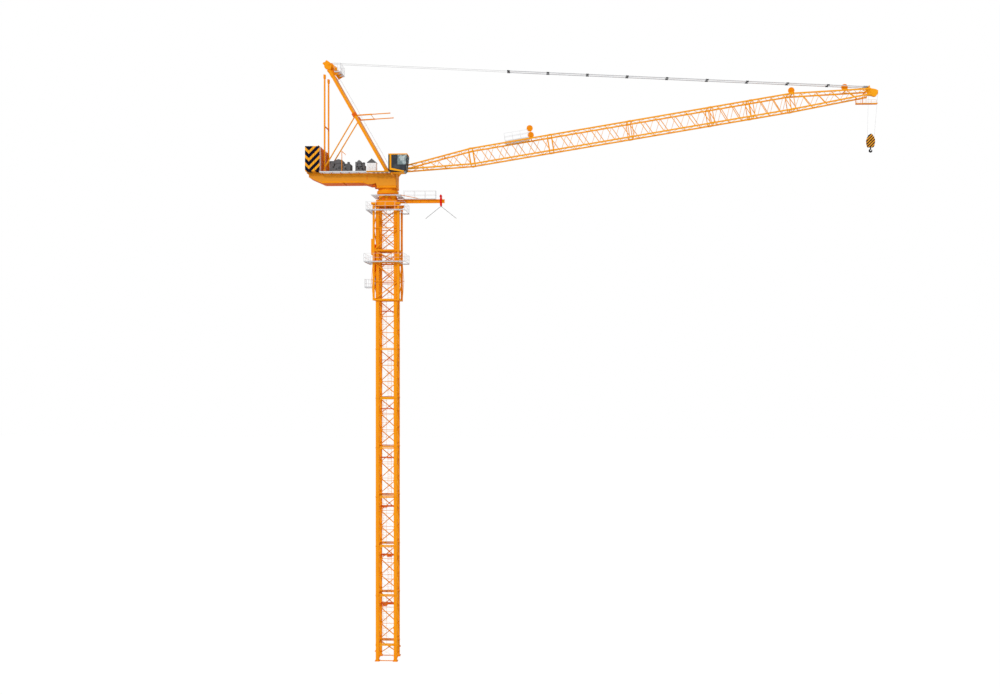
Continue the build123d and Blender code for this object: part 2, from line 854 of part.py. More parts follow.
# Small platform in front of the head of the A-frame
platform_z = deck_top + head_platform_rise
platform_root = leg_face(head_platform_rise) + seat_gap
with BuildPart() as head_platform:
    with BuildSketch(Plane.XY.offset(platform_z)):
        with Locations(((platform_root + head_platform_tip_x) / 2, 0)):
            Rectangle(head_platform_tip_x - platform_root, deck_width)
    extrude(amount=grating)
    out, half = head_platform_tip_x - rail_bar, half_deck - rail_bar
    add(railing([(platform_root + rail_bar, -half), (out, -half), (out, half),
                 (platform_root + rail_bar, half)], platform_z + grating))
finish(head_platform, "head_platform")


def winch(name, x, length, height, case_x, case_length, motor_radius):
    """A winch: skid, bearing plates, a flanged rope drum, a gear case and a motor."""
    half = winch_width / 2
    drum_z = deck_top + winch_skid + winch_drum_radius + grating
    with BuildPart() as frame:
        with BuildSketch(Plane.XY.offset(deck_top)):
            with Locations((x, 0)):
                Rectangle(length, winch_width)
        extrude(amount=winch_skid)
        for y in (-half, half - winch_plate):
            low = deck_top + winch_skid
            top_half = length / 2 * winch_top_share
            add(plate([(x - length / 2, low), (x + length / 2, low), (x + top_half, deck_top + height),
                       (x - top_half, deck_top + height)], y, y + winch_plate))
        add(rod((x, -half, drum_z), (x, half, drum_z), winch_barrel_radius, wheel_sides))
        for y in (-half + winch_plate, half - winch_plate - winch_drum_flange):
            add(rod((x, y, drum_z), (x, y + winch_drum_flange, drum_z), winch_drum_radius, wheel_sides))
        with Locations((x + case_x, 0, low + winch_case_height / 2)):
            Box(case_length, winch_case_width, winch_case_height)
        motor_half = half - motor_sink
        motor_z = low + motor_radius - motor_sink
        add(rod((x - case_x, -motor_half, motor_z), (x - case_x, motor_half, motor_z), motor_radius, pin_sides))
    finish(frame, name)


winch("hoisting_winch", hoist_winch_x, hoist_winch_length, hoist_winch_height, hoist_case_x,
      hoist_case_length, hoist_motor_radius)
winch("luffing_winch", luff_winch_x, luff_winch_length, luff_winch_height, luff_case_x,
      luff_case_length, luff_motor_radius)

# Electrical cabinet with a gable roof
with BuildPart() as electrical_cabinet:
    wall = deck_top + cabinet_wall_height
    left, right = cabinet_x - cabinet_length / 2, cabinet_x + cabinet_length / 2
    add(plate([(left, deck_top), (right, deck_top), (right, wall),
               (cabinet_x, wall + cabinet_roof_height), (left, wall)],
              cabinet_y - cabinet_width / 2, cabinet_y + cabinet_width / 2))
finish(electrical_cabinet, "electrical_cabinet")

# Davit post with a short arm
with BuildPart() as davit:
    top = deck_top + davit_height
    add(rod((davit_x, davit_y, deck_top), (davit_x, davit_y, top), davit_size / 2, post_sides))
    add(rod((davit_x, davit_y, top - davit_size), (davit_x + davit_arm, davit_y, top - davit_arm),
            davit_size / 2, post_sides))
finish(davit, "davit")

# Operator's cab: a slanted housing, glazed on both sides and in front
cab_bottom = deck_top - cab_floor_drop
cab_top = cab_bottom + cab_height
cab_outline = [(cab_back, cab_bottom + cab_nose), (cab_back + cab_nose, cab_bottom),
               (cab_front - 2 * cab_nose, cab_bottom), (cab_front - cab_nose, cab_bottom + cab_nose),
               (cab_front, cab_top - cab_nose), (cab_front, cab_top), (cab_back, cab_top)]
window = [(cab_back + 2 * cab_post, cab_bottom + cab_sill + cab_post),
          (cab_front - 2 * cab_post, cab_bottom + cab_sill - cab_post),
          (cab_front - cab_post, cab_top - cab_post), (cab_back + 2 * cab_post, cab_top - cab_post)]
nose_line = ((cab_front - 2 * cab_nose, cab_bottom), (cab_front - cab_nose, cab_bottom + cab_nose))
front_line = ((cab_front - cab_nose, cab_bottom + cab_nose), (cab_front, cab_top - cab_nose))


def front_pane(line, edge_share):
    """The outline of a pane let into a sloping front, between shares of its height."""
    foot, head = between(*line, edge_share), between(*line, 1 - edge_share)
    return [foot, head, (head[0] - cab_glass_thickness, head[1] + cab_glass_thickness),
            (foot[0] - cab_glass_thickness, foot[1] + cab_glass_thickness)]


far_wall = cab_near + cab_width
panes = [(window, cab_near, cab_near + cab_glass_thickness),
         (window, far_wall - cab_glass_thickness, far_wall)]
panes += [(front_pane(line, share), cab_near + cab_post, far_wall - cab_post)
          for line, share in ((nose_line, nose_pane_share), (front_line, front_pane_share))]
with BuildPart() as cab_body:
    add(plate(cab_outline, cab_near, far_wall))
    for pane in panes:
        add(plate(*pane), mode=Mode.SUBTRACT)
finish(cab_body, "cab_body")

with BuildPart() as cab_glass:
    for pane in panes:
        add(plate(*pane))
finish(cab_glass, "cab_glass")


def on_jib(s, y, t):
    """A point given along the jib, across it and square to it."""
    turn = radians(jib_angle)
    return (heel_x + s * cos(turn) - t * sin(turn), y, heel_z + s * sin(turn) + t * cos(turn))


jib_up = (-sin(radians(jib_angle)), 0, cos(radians(jib_angle)))
jib_along = (cos(radians(jib_angle)), 0, sin(radians(jib_angle)))


def jib_length(start, end, low, high, bays, cut_start=True):
    """Chords, end frames and lacing between two stations along the jib.

    low and high give the bottom and top chord's place at the start and the end.
    The chords run past both ends and are cut square to the jib.
    """
    run = end - start
    past = jib_chord / run
    lines = {}
    for side in (-1, 1):
        for name, place in (("low", low), ("high", high)):
            lines[name, side] = (on_jib(start, side * half_jib, place[0]),
                                 on_jib(end, side * half_jib, place[1]))
    bars = [bar(between(*line, -past if cut_start else 0), between(*line, 1 + past), jib_chord)
            for line in lines.values()]
    inner = {key: (between(*line, past), between(*line, 1 - past)) for key, line in lines.items()}
    for share in (past / 2, 1 - past / 2):
        at = {key: between(*line, share) for key, line in lines.items()}
        bars.append(bar(at["low", -1], at["low", 1], frame_bar, frame_bar, jib_up))
        bars.append(bar(at["high", -1], at["high", 1], frame_bar, frame_bar, jib_up))
        for side in (-1, 1):
            bars.append(bar(at["low", side], at["high", side], frame_bar))
    for side in (-1, 1):
        bars += zigzag(inner["low", side], inner["high", side], bays, lacing_bar, (0, 1, 0))
    cross_bays = (bays + 1) // 2
    bars += zigzag(inner["low", -1], inner["low", 1], cross_bays, lacing_bar, jib_up)
    bars += zigzag(inner["high", -1], inner["high", 1], cross_bays, lacing_bar, jib_up)
    with BuildPart() as piece:
        add(bars)
        if cut_start:
            split(bisect_by=Plane(origin=on_jib(start, 0, 0), z_dir=jib_along), keep=Keep.TOP)
        split(bisect_by=Plane(origin=on_jib(end, 0, 0), z_dir=jib_along), keep=Keep.BOTTOM)
    return piece.part


# Heel section: the chords draw together to the two heel ears
with BuildPart() as jib_heel:
    add(jib_length(heel_start, heel_length, (-heel_end_depth / 2, -half_depth),
                   (heel_end_depth / 2, half_depth), heel_bays, cut_start=False))
    for y in (-half_jib, half_jib):
        add(rod((heel_x, y - heel_ear / 2, heel_z), (heel_x, y + heel_ear / 2, heel_z), heel_ear_radius,
                wheel_sides))
    for y in (-half_jib, half_jib):
        add(rod((heel_x, y - heel_ear, heel_z), (heel_x, y + heel_ear, heel_z),
                pin_radius + pin_clearance), mode=Mode.SUBTRACT)
finish(jib_heel, "jib_heel")

# Straight sections: three long ones, then two short ones
station = heel_length
straight = ((-half_depth, -half_depth), (half_depth, half_depth))
for number in range(long_section_count):
    with BuildPart() as jib_section:
        add(jib_length(station, station + long_section, *straight, long_bays))
    finish(jib_section, "jib_section_" + str(number + 1))
    station += long_section
for number in range(short_section_count):
    with BuildPart() as jib_section:
        add(jib_length(station, station + short_section, *straight, short_bays))
    finish(jib_section, "jib_short_section_" + str(number + 1))
    station += short_section


def jib_plate(outline, y_low, y_high):
    """A plate square to the jib's width, its outline in the jib's own frame."""
    points = []
    for s, t in outline:
        x, _, z = on_jib(s, 0, t)
        points.append((x, z))
    return plate(points, y_low, y_high)


# Tip section with the cheeks of the tip wheel and the eyes of the pendants
cheek_half = sheave_width / 2 + sheave_side_gap
cheek_outline = [(jib_end - jib_chord, tip_bottom), (jib_end + jib_chord, tip_bottom - jib_chord / 2),
                 (tip_wheel_s + cheek_tip, tip_wheel_t - cheek_tip_half),
                 (tip_wheel_s + cheek_tip, tip_wheel_t + cheek_tip_half),
                 (jib_end + jib_chord, tip_top + jib_chord), (jib_end - jib_chord, tip_top)]
wheel_x, _, wheel_z = on_jib(tip_wheel_s, 0, tip_wheel_t)
eye_x, _, eye_z = on_jib(pendant_eye_s, 0, pendant_eye_t)
eye_outline = [(jib_end - jib_chord, tip_top), (jib_end, tip_top),
               (pendant_eye_s + pin_radius, pendant_eye_t + 2 * pin_radius),
               (pendant_eye_s - pin_radius, pendant_eye_t + 2 * pin_radius)]
eye_gap = pendant_link_size / 2 + lug_gap
with BuildPart() as jib_tip:
    add(jib_length(station, jib_end, (-half_depth, tip_bottom), (half_depth, tip_top), tip_bays))
    for side in (-1, 1):
        near, far = side * cheek_half, side * (cheek_half + cheek_thickness)
        add(jib_plate(cheek_outline, min(near, far), max(near, far)))
    pin_reach = cheek_half + cheek_thickness
    add(rod((wheel_x, -pin_reach, wheel_z), (wheel_x, pin_reach, wheel_z), sheave_pin, pin_sides))
    for middle in (-pendant_half_gap, pendant_half_gap):
        for side in (-1, 1):
            y = middle + side * (eye_gap + lug_thickness / 2)
            add(jib_plate(eye_outline, y - lug_thickness / 2, y + lug_thickness / 2))
        reach = eye_gap + lug_thickness
        add(rod((eye_x, middle - reach, eye_z), (eye_x, middle + reach, eye_z), pin_radius, pin_sides))
finish(jib_tip, "jib_tip")


def sheave(name, s, t, radius):
    """A grooved wheel that turns on a pin across the jib."""
    with BuildPart() as wheel:
        add(grooved_wheel(on_jib(s, 0, t), sheave_width, radius, sheave_groove, sheave_pin + pin_clearance))
    finish(wheel, name)


sheave("tip_wheel", tip_wheel_s, tip_wheel_t, tip_wheel_radius)
sheave("low_guide_sheave", twin_guide_s, low_guide_t, sheave_radius)
sheave("high_guide_sheave", twin_guide_s, high_guide_t, sheave_radius)
sheave("mid_guide_sheave", mid_guide_s, mid_guide_t, sheave_radius)
sheave("outer_guide_sheave", outer_guide_s, outer_guide_t, sheave_radius)


def top_chord(s):
    """Height of the top chord's upper face at a station along the jib."""
    share = max(0, (s - jib_straight_end) / tip_length)
    return half_depth + (tip_top - half_depth) * share + jib_chord / 2


def sheave_post(s, sheave_ts):
    """A sill across the top chords with two cheeks that carry guide sheaves."""
    foot = top_chord(s - post_size / 2) + seat_gap
    pieces = [bar(on_jib(s, -half_jib, foot + post_sill / 2), on_jib(s, half_jib, foot + post_sill / 2),
                  post_sill, post_size, jib_up)]
    for side in (-1, 1):
        y = side * (cheek_half + post_cheek / 2)
        pieces.append(bar(on_jib(s, y, foot), on_jib(s, y, max(sheave_ts) + cheek_tip_half),
                          post_cheek, post_size))
    for t in sheave_ts:
        x, _, z = on_jib(s, 0, t)
        reach = cheek_half + post_cheek
        pieces.append(rod((x, -reach, z), (x, reach, z), sheave_pin, pin_sides))
    return pieces


with BuildPart() as guide_sheave_posts:
    add(sheave_post(twin_guide_s, (low_guide_t, high_guide_t)))
    add(sheave_post(mid_guide_s, (mid_guide_t,)))
    add(sheave_post(outer_guide_s, (outer_guide_t,)))
finish(guide_sheave_posts, "guide_sheave_posts")

# Walkway on the top of the jib beside the twin sheaves
walk_t = half_depth + jib_chord / 2 + seat_gap + grating / 2
with BuildPart() as jib_walkway:
    add(bar(on_jib(jib_walkway_start, 0, walk_t), on_jib(jib_walkway_end, 0, walk_t), jib_width, grating))
    walk_first, walk_last = jib_walkway_start + rail_bar / 2, jib_walkway_end - rail_bar / 2
    for y in (-half_jib + rail_bar / 2, half_jib - rail_bar / 2):
        for number in range(jib_walkway_posts):
            s = walk_first + (walk_last - walk_first) * number / (jib_walkway_posts - 1)
            add(bar(on_jib(s, y, walk_t), on_jib(s, y, walk_t + rail_height), rail_bar))
        for share in (knee_rail_share, 1):
            t = walk_t + rail_height * share
            add(bar(on_jib(walk_first, y, t), on_jib(walk_last, y, t), rail_bar))
finish(jib_walkway, "jib_walkway")

# Platform hung level under the tip of the jib, slotted for the hoisting ropes
tip_floor = wheel_z - tip_platform_drop
with BuildPart() as tip_platform:
    with BuildSketch(Plane.XY.offset(tip_floor)):
        with Locations(((tip_platform_start + tip_platform_end) / 2, 0)):
            Rectangle(tip_platform_end - tip_platform_start, tip_platform_width)
        with Locations(((tip_platform_slot_start + tip_platform_end) / 2, 0)):
            Rectangle(tip_platform_end - tip_platform_slot_start, tip_platform_slot, mode=Mode.SUBTRACT)
    extrude(amount=grating)
    hanger_y = half_jib - jib_chord / 2 - seat_gap - rail_bar
    for way in (-1, 1):
        for x in (tip_platform_start + rail_bar, on_jib(jib_end, 0, tip_bottom)[0] - hanger_inset):
            share = (x - on_jib(jib_straight_end, 0, 0)[0]) / (tip_length * jib_along[0])
            chord_z = on_jib(jib_straight_end + share * tip_length, 0,
                             -half_depth + (tip_bottom + half_depth) * share)[2]
            add(bar((x, way * hanger_y, tip_floor), (x, way * hanger_y, chord_z + jib_chord),
                    rail_bar * 2))
    rail_y = (tip_platform_width - rail_bar) / 2
    rail_back, rail_front = tip_platform_start + rail_bar / 2, tip_platform_end - rail_bar / 2
    add(railing([(rail_front, -rail_y), (rail_back, -rail_y), (rail_back, rail_y), (rail_front, rail_y)],
                tip_floor + grating, tip_rail_height))
finish(tip_platform, "tip_platform")

# Pendants: two lines of bars with pinned links, ending at the floating block
head_point = (head_sheave_x, head_z + head_sheave_radius)
reach = hypot(eye_x - head_point[0], eye_z - head_point[1])
block_x, block_z = between((eye_x, eye_z), head_point, pendant_length / reach)
with BuildPart() as pendants:
    for way in (-1, 1):
        y = way * pendant_half_gap
        start, end = (eye_x, y, eye_z), (block_x, y, block_z)
        add(bar(start, end, pendant_size))
        for number in range(pendant_pieces + 1):
            middle = number / pendant_pieces
            share = pendant_link / 2 / pendant_length
            add(bar(between(start, end, middle - share), between(start, end, middle + share),
                    pendant_link_size))
    block_half = pendant_half_gap - pendant_link_size / 2 - seat_gap
    add(bar((block_x, -block_half, block_z), (block_x, block_half, block_z),
            pendant_link_size, pendant_link_size, (0, 0, 1)))
    for way in (-1, 1):
        y = way * pendant_half_gap
        add(rod((eye_x, y - pendant_link_size, eye_z), (eye_x, y + pendant_link_size, eye_z),
                pin_radius + pin_clearance), mode=Mode.SUBTRACT)
finish(pendants, "pendants")

# Luffing ropes from the head of the A-frame to the floating block
with BuildPart() as luffing_ropes:
    for way in (-1, 1):
        for side in (-1, 1):
            y = way * pendant_half_gap / 2 + side * rope
            add(bar((head_point[0], y, head_point[1] + rope / 2 + seat_gap),
                    (block_x - pendant_link_size / 2 - seat_gap, y, block_z), rope))
finish(luffing_ropes, "luffing_ropes")

# Hook block: two shield-shaped cheeks on an axle, with the sheave between them
hook_x = wheel_x - hook_offset
block_top = wheel_z - block_drop
shell_bottom = block_top - shell_height
axle_z = shell_bottom + shell_height / 2
with BuildPart() as hook_block:
    for low in (-shell_gap / 2 - shell_thickness, shell_gap / 2):
        with BuildSketch(Plane((hook_x, low, 0), x_dir=(1, 0, 0), z_dir=(0, -1, 0))):
            right = [(width * shell_width / 2, block_top - drop * shell_height)
                     for width, drop in shell_shares]
            left = [(-x, z) for x, z in reversed(right)]
            Polygon(*right, *left, align=None)
        extrude(amount=-shell_thickness)
    add(grooved_wheel((hook_x, 0, axle_z), sheave_width, sheave_radius, sheave_groove, block_axle_radius))
    add(rod((hook_x, -shell_gap / 2, axle_z), (hook_x, shell_gap / 2, axle_z), block_axle_radius))
    with Locations((hook_x, 0, shell_bottom + crosshead_height / 2)):
        Box(crosshead_width, shell_gap, crosshead_height)
        Cylinder(hook_shank + pin_clearance, crosshead_height, mode=Mode.SUBTRACT)
finish(hook_block, "hook_block")

# Hook: a shank with its nut above the cross head and a flat forged hook below
eye_height = shell_bottom - hook_height + hook_radius
with BuildPart() as hook:
    nut_foot = shell_bottom + crosshead_height + hook_running_gap
    add(rod((hook_x, 0, eye_height + hook_throat), (hook_x, 0, nut_foot), hook_shank, pin_sides))
    add(rod((hook_x, 0, nut_foot), (hook_x, 0, nut_foot + hook_nut_height), hook_nut_radius, post_sides))
    with BuildSketch(Plane((hook_x, -hook_thickness / 2, eye_height), x_dir=(1, 0, 0), z_dir=(0, -1, 0))):
        with Locations((-hook_belly, -hook_belly)):
            RegularPolygon(hook_radius, wheel_sides)
        RegularPolygon(hook_throat, wheel_sides, mode=Mode.SUBTRACT)
        with Locations((hook_radius, hook_tip_rise + hook_radius / 2)):
            Rectangle(hook_radius * 2 - hook_shank, hook_radius, mode=Mode.SUBTRACT)
    extrude(amount=-hook_thickness)
finish(hook, "hook")

# Hoisting ropes: one from the tip wheel, one from the end of the jib, to the block
groove_depth = sheave_groove * rope / sheave_width
with BuildPart() as hoisting_ropes:
    rope_reach = sheave_radius - sheave_groove + groove_depth + rope / 2 + seat_gap
    wheel_reach = tip_wheel_radius - sheave_groove + groove_depth + rope / 2 + seat_gap
    add(bar((hook_x + rope_reach, 0, axle_z), (wheel_x + wheel_reach, 0, wheel_z), rope))
    anchor_x, _, anchor_z = on_jib(jib_end - jib_chord / 2, 0, tip_bottom - frame_bar / 2)
    add(bar((hook_x - rope_reach, 0, axle_z), (anchor_x, 0, anchor_z - rope), rope))
finish(hoisting_ropes, "hoisting_ropes")

# Feed beam on the lower turntable, an I section with a platform and railing
with BuildPart() as feed_beam:
    half_wide, half_high = feed_beam_width / 2, feed_beam_height / 2
    web = feed_beam_wall / 2
    with BuildSketch(Plane((turntable_frame / 2 + seat_gap, 0, feed_beam_top - half_high),
                           x_dir=(0, 1, 0), z_dir=(1, 0, 0))):
        Rectangle(feed_beam_width, feed_beam_height)
        for way in (-1, 1):
            with Locations((way * (half_wide + web) / 2, 0)):
                Rectangle(half_wide - web, feed_beam_height - 2 * feed_beam_wall, mode=Mode.SUBTRACT)
    extrude(amount=feed_beam_end - turntable_frame / 2 - seat_gap)
    with BuildSketch(Plane.XY.offset(feed_beam_top)):
        with Locations(((feed_platform_start + feed_platform_end) / 2, 0)):
            Rectangle(feed_platform_end - feed_platform_start, feed_platform_width)
    extrude(amount=grating)
    half = feed_platform_width / 2 - rail_bar / 2
    end = feed_platform_end - rail_bar / 2
    add(railing([(feed_platform_start + rail_bar, -half), (end, -half), (end, half),
                 (feed_platform_start + rail_bar, half)], feed_beam_top + grating))
    add(bar((ring_radius + feed_stay / 2 + seat_gap, 0, ring_level + ring_height / 2),
            (feed_stay_end, 0, feed_beam_top + grating), feed_stay))
finish(feed_beam, "feed_beam")

# Trolley on the feed beam: a frame round the beam, and two spreading arms below
trolley_low = feed_beam_top - feed_beam_height - trolley_gap - trolley_drop
trolley_high = feed_beam_top + trolley_gap + trolley_rise
with BuildPart() as feed_trolley:
    inner = feed_beam_width / 2 + trolley_gap
    for side in (-1, 1):
        y = side * (inner + trolley_plate / 2)
        add(bar((trolley_x, y, trolley_low), (trolley_x, y, trolley_high), trolley_plate, trolley_length))
    for level in (trolley_low + trolley_plate, trolley_high - trolley_plate):
        add(bar((trolley_x, -inner, level), (trolley_x, inner, level), trolley_length, trolley_plate,
                (1, 0, 0)))
    roller_z = feed_beam_top + seat_gap + trolley_roller_radius
    add(rod((trolley_x, -inner, roller_z), (trolley_x, inner, roller_z), trolley_roller_radius, pin_sides))
finish(feed_trolley, "feed_trolley")

arm_top = trolley_low + trolley_plate / 2 - arm_size / 2
with BuildPart() as trolley_arms:
    for side in (-1, 1):
        add(bar((trolley_x, 0, arm_top), (trolley_x + side * arm_reach, 0, arm_top - arm_drop),
                arm_size))
finish(trolley_arms, "trolley_arms")
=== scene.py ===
# Tower crane with a luffing jib: the finished look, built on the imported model.
# Metres, in the model's own frame. The origin is on the ground in the middle of
# the mast, +X runs along the jib, +Y to the far side and +Z up.

from math import cos, hypot, pi, radians, sin

import bpy
from mathutils import Matrix, Vector


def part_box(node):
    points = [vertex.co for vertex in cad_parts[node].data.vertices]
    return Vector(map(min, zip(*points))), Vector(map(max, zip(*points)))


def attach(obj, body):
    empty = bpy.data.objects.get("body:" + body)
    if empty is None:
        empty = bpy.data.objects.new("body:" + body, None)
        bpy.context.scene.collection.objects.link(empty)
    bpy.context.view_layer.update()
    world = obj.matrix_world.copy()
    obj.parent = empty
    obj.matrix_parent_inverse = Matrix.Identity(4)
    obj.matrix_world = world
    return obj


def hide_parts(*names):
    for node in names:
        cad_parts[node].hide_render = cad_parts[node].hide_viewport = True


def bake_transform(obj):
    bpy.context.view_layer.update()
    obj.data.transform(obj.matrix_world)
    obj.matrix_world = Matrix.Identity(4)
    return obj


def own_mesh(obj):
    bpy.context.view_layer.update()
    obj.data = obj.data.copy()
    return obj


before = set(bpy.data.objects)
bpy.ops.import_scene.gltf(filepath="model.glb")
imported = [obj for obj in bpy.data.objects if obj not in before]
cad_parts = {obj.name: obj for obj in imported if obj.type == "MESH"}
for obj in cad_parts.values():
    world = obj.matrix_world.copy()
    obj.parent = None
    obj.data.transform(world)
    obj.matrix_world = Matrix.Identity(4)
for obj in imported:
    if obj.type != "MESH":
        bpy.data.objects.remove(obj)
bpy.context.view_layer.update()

# Camera: level, a little to the right of the crane, as in the photograph
camera_place = (1.9759, -12.4257, 3.8181)
camera_turn = 0.048
camera_lens = 36.64
camera_reach = 200

camera = bpy.data.objects.new("camera", bpy.data.cameras.new("camera"))
bpy.context.scene.collection.objects.link(camera)
camera.location = camera_place
camera.rotation_euler = (pi / 2, 0, camera_turn)
camera.data.lens = camera_lens
camera.data.clip_end = camera_reach
bpy.context.scene.camera = camera

# Working tools
X, Y, Z = (1, 0, 0), (0, 1, 0), (0, 0, 1)
both = (-1, 1)
merge_reach = 1e-6
smooth_angle = radians(32)


def clear_selection():
    bpy.ops.object.select_all(action="DESELECT")


def only(piece):
    """Makes one piece the selected and active one."""
    clear_selection()
    piece.select_set(True)
    bpy.context.view_layer.objects.active = piece


def link(name, data):
    piece = bpy.data.objects.new(name, data)
    bpy.context.scene.collection.objects.link(piece)
    return piece


def tidy(piece):
    """Merges doubled points and turns every face outwards."""
    only(piece)
    bpy.ops.object.mode_set(mode="EDIT")
    bpy.ops.mesh.select_all(action="SELECT")
    bpy.ops.mesh.remove_doubles(threshold=merge_reach)
    bpy.ops.mesh.normals_make_consistent(inside=False)
    bpy.ops.object.mode_set(mode="OBJECT")


def axes(origin, x_dir, z_dir):
    """The placing of a thing that is drawn in XY and rises along Z."""
    z_dir = Vector(z_dir).normalized()
    x_dir = Vector(x_dir)
    if abs(x_dir.normalized().dot(z_dir)) > 0.999:
        x_dir = Vector(Z) if abs(z_dir.z) < 0.9 else Vector(X)
    x_dir = (x_dir - z_dir * x_dir.dot(z_dir)).normalized()
    place = Matrix((x_dir, z_dir.cross(x_dir), z_dir)).transposed().to_4x4()
    place.translation = Vector(origin)
    return place


def raised(height):
    return Matrix.Translation((0, 0, height))


def drawn(loops, depth, chamfer=0.0, place=None):
    """A solid drawn by closed loops in XY, an outline and any holes, that rises along Z."""
    curve = bpy.data.curves.new("outline", "CURVE")
    curve.dimensions = "2D"
    curve.fill_mode = "BOTH"
    curve.extrude = depth / 2 - chamfer
    curve.bevel_depth = chamfer
    curve.bevel_resolution = 0
    curve.offset = -chamfer
    for loop in loops:
        spline = curve.splines.new("POLY")
        spline.points.add(len(loop) - 1)
        for point, (x, y) in zip(spline.points, loop):
            point.co = (x, y, 0, 1)
        spline.use_cyclic_u = True
    only(link("outline", curve))
    bpy.ops.object.convert(target="MESH")
    piece = bpy.context.object
    tidy(piece)
    piece.data.transform(raised(depth / 2))
    if place:
        piece.data.transform(place)
    return piece


def ring(radius, points, turn=0.0):
    """Points evenly spaced on a circle."""
    return [(radius * cos(turn + 2 * pi * n / points), radius * sin(turn + 2 * pi * n / points))
            for n in range(points)]


def hole(x, y, radius, points):
    """A round hole for a drawn plate."""
    return [(x + u, y + v) for u, v in ring(radius, points)][::-1]


def turned(outline, place, steps=40):
    """A turned part: radius and height points spun round its own axis."""
    mesh = bpy.data.meshes.new("turned")
    mesh.from_pydata([(r, 0, h) for r, h in outline], [(n, n + 1) for n in range(len(outline) - 1)], [])
    piece = link("turned", mesh)
    only(piece)
    bpy.ops.object.mode_set(mode="EDIT")
    bpy.ops.mesh.select_all(action="SELECT")
    bpy.ops.mesh.spin(steps=steps, angle=2 * pi, center=(0, 0, 0), axis=Z)
    bpy.ops.object.mode_set(mode="OBJECT")
    tidy(piece)
    piece.data.transform(place)
    return piece


def spun(outline, centre, steps, way=1):
    """A turned part whose axis runs across the crane."""
    return turned(outline, axes(centre, X, (0, way, 0)), steps)


def pin(centre, radius, half, steps):
    """A plain round pin across the crane."""
    return spun([(0, -half), (radius, -half), (radius, half), (0, half)], centre, steps)


def joined(name, pieces):
    clear_selection()
    for piece in pieces:
        piece.select_set(True)
    whole = pieces[0]
    bpy.context.view_layer.objects.active = whole
    if len(pieces) > 1:
        bpy.ops.object.join()
    whole.name = name
    whole.data.name = name
    return whole


# Steel sections, each a unit length that is stretched between two points
corner_share = 0.12
wall_share = 0.17


def section(outline):
    piece = drawn([outline], 1)
    mesh = piece.data
    bpy.data.objects.remove(piece)
    return mesh


c, w = 0.5 - corner_share, 0.5 - wall_share
square = [(-0.5, -0.5), (0.5, -0.5), (0.5, 0.5), (-0.5, 0.5)]
sections = {
    "box": section([(-c, -0.5), (c, -0.5), (0.5, -c), (0.5, c), (c, 0.5), (-c, 0.5), (-0.5, c), (-0.5, -c)]),
    "flat": section(square),
    "tube": section(ring(0.5, 10)),
    "rod": section(ring(0.5, 6)),
    "angle": section([*square[:2], (0.5, -w), (-w, -w), (-w, 0.5), square[3]]),
    "channel": section([*square, (-0.5, w), (w, w), (w, -w), (-0.5, -w)]),
}


def member(kind, start, end, width, depth=None, across=Y):
    """One length of a steel section; its width lies along across."""
    run = Vector(end) - Vector(start)
    mesh = sections[kind].copy()
    mesh.transform(axes(start, across, run) @ Matrix.Diagonal((width, depth or width, run.length, 1)))
    return link(kind, mesh)


def beam_over(kind, x, z, half, width, depth=None, across=Z):
    """A section that runs across the crane, as far to both sides."""
    return member(kind, (x, -half, z), (x, half, z), width, depth, across)


def block(low, high, chamfer=0.0008):
    """A block between two corners, with its upright edges chamfered."""
    (x, y, z), (u, v, t) = low, high
    return drawn([[(x, y), (u, y), (u, v), (x, v)]], t - z, chamfer, raised(z))


def post(x, y, half, low, high, chamfer):
    """A square upright round a point."""
    return block((x - half, y - half, low), (x + half, y + half, high), chamfer)


def upright_plate(loops, y_low, y_high, chamfer=0.0006):
    """A plate drawn in XZ, between two places across the crane."""
    return drawn(loops, y_high - y_low, chamfer, axes((0, y_high, 0), X, (0, -1, 0)))


def between(start, end, share):
    return tuple(a + (b - a) * share for a, b in zip(start, end))


hexagon = drawn([ring(1, 6)], 1)
hexagon.hide_render = True
washer = drawn([ring(1.45, 14)], 0.25)
bolt_mesh = joined("bolt", [hexagon, washer])
bolt_unit = bolt_mesh.data
bpy.data.objects.remove(bolt_mesh)


def bolt(place, heading, radius):
    """A hexagon head on its washer."""
    mesh = bolt_unit.copy()
    mesh.transform(axes(place, X, heading) @ Matrix.Scale(radius, 4))
    return link("bolt", mesh)


def railing(points, level, height=0.1, pitch=0.12, board=0.012):
    """Posts, a hand rail, a knee rail and a toe board along a line of XY points."""
    rail, upright, sheet = 0.0024, 0.0030, 0.0010
    parts = []
    for start, end in zip(points, points[1:]):
        posts = max(1, round(hypot(end[0] - start[0], end[1] - start[1]) / pitch))
        for number in range(posts + 1):
            x, y = between(start, end, number / posts)
            parts.append(member("rod", (x, y, level), (x, y, level + height), upright))
        for share in (0.5, 1.0):
            z = level + height * share - rail / 2
            parts.append(member("rod", (*start, z), (*end, z), rail, across=Z))
        z = level + board / 2
        parts.append(member("flat", (*start, z), (*end, z), board, sheet, Z))
    return parts


def spans(low, high, gap):
    """The parts of a stretch that lie outside a gap in it."""
    if not gap:
        return [(low, high)]
    return [(a, b) for a, b in ((low, gap[0]), (gap[1], high)) if b - a > 0.002]


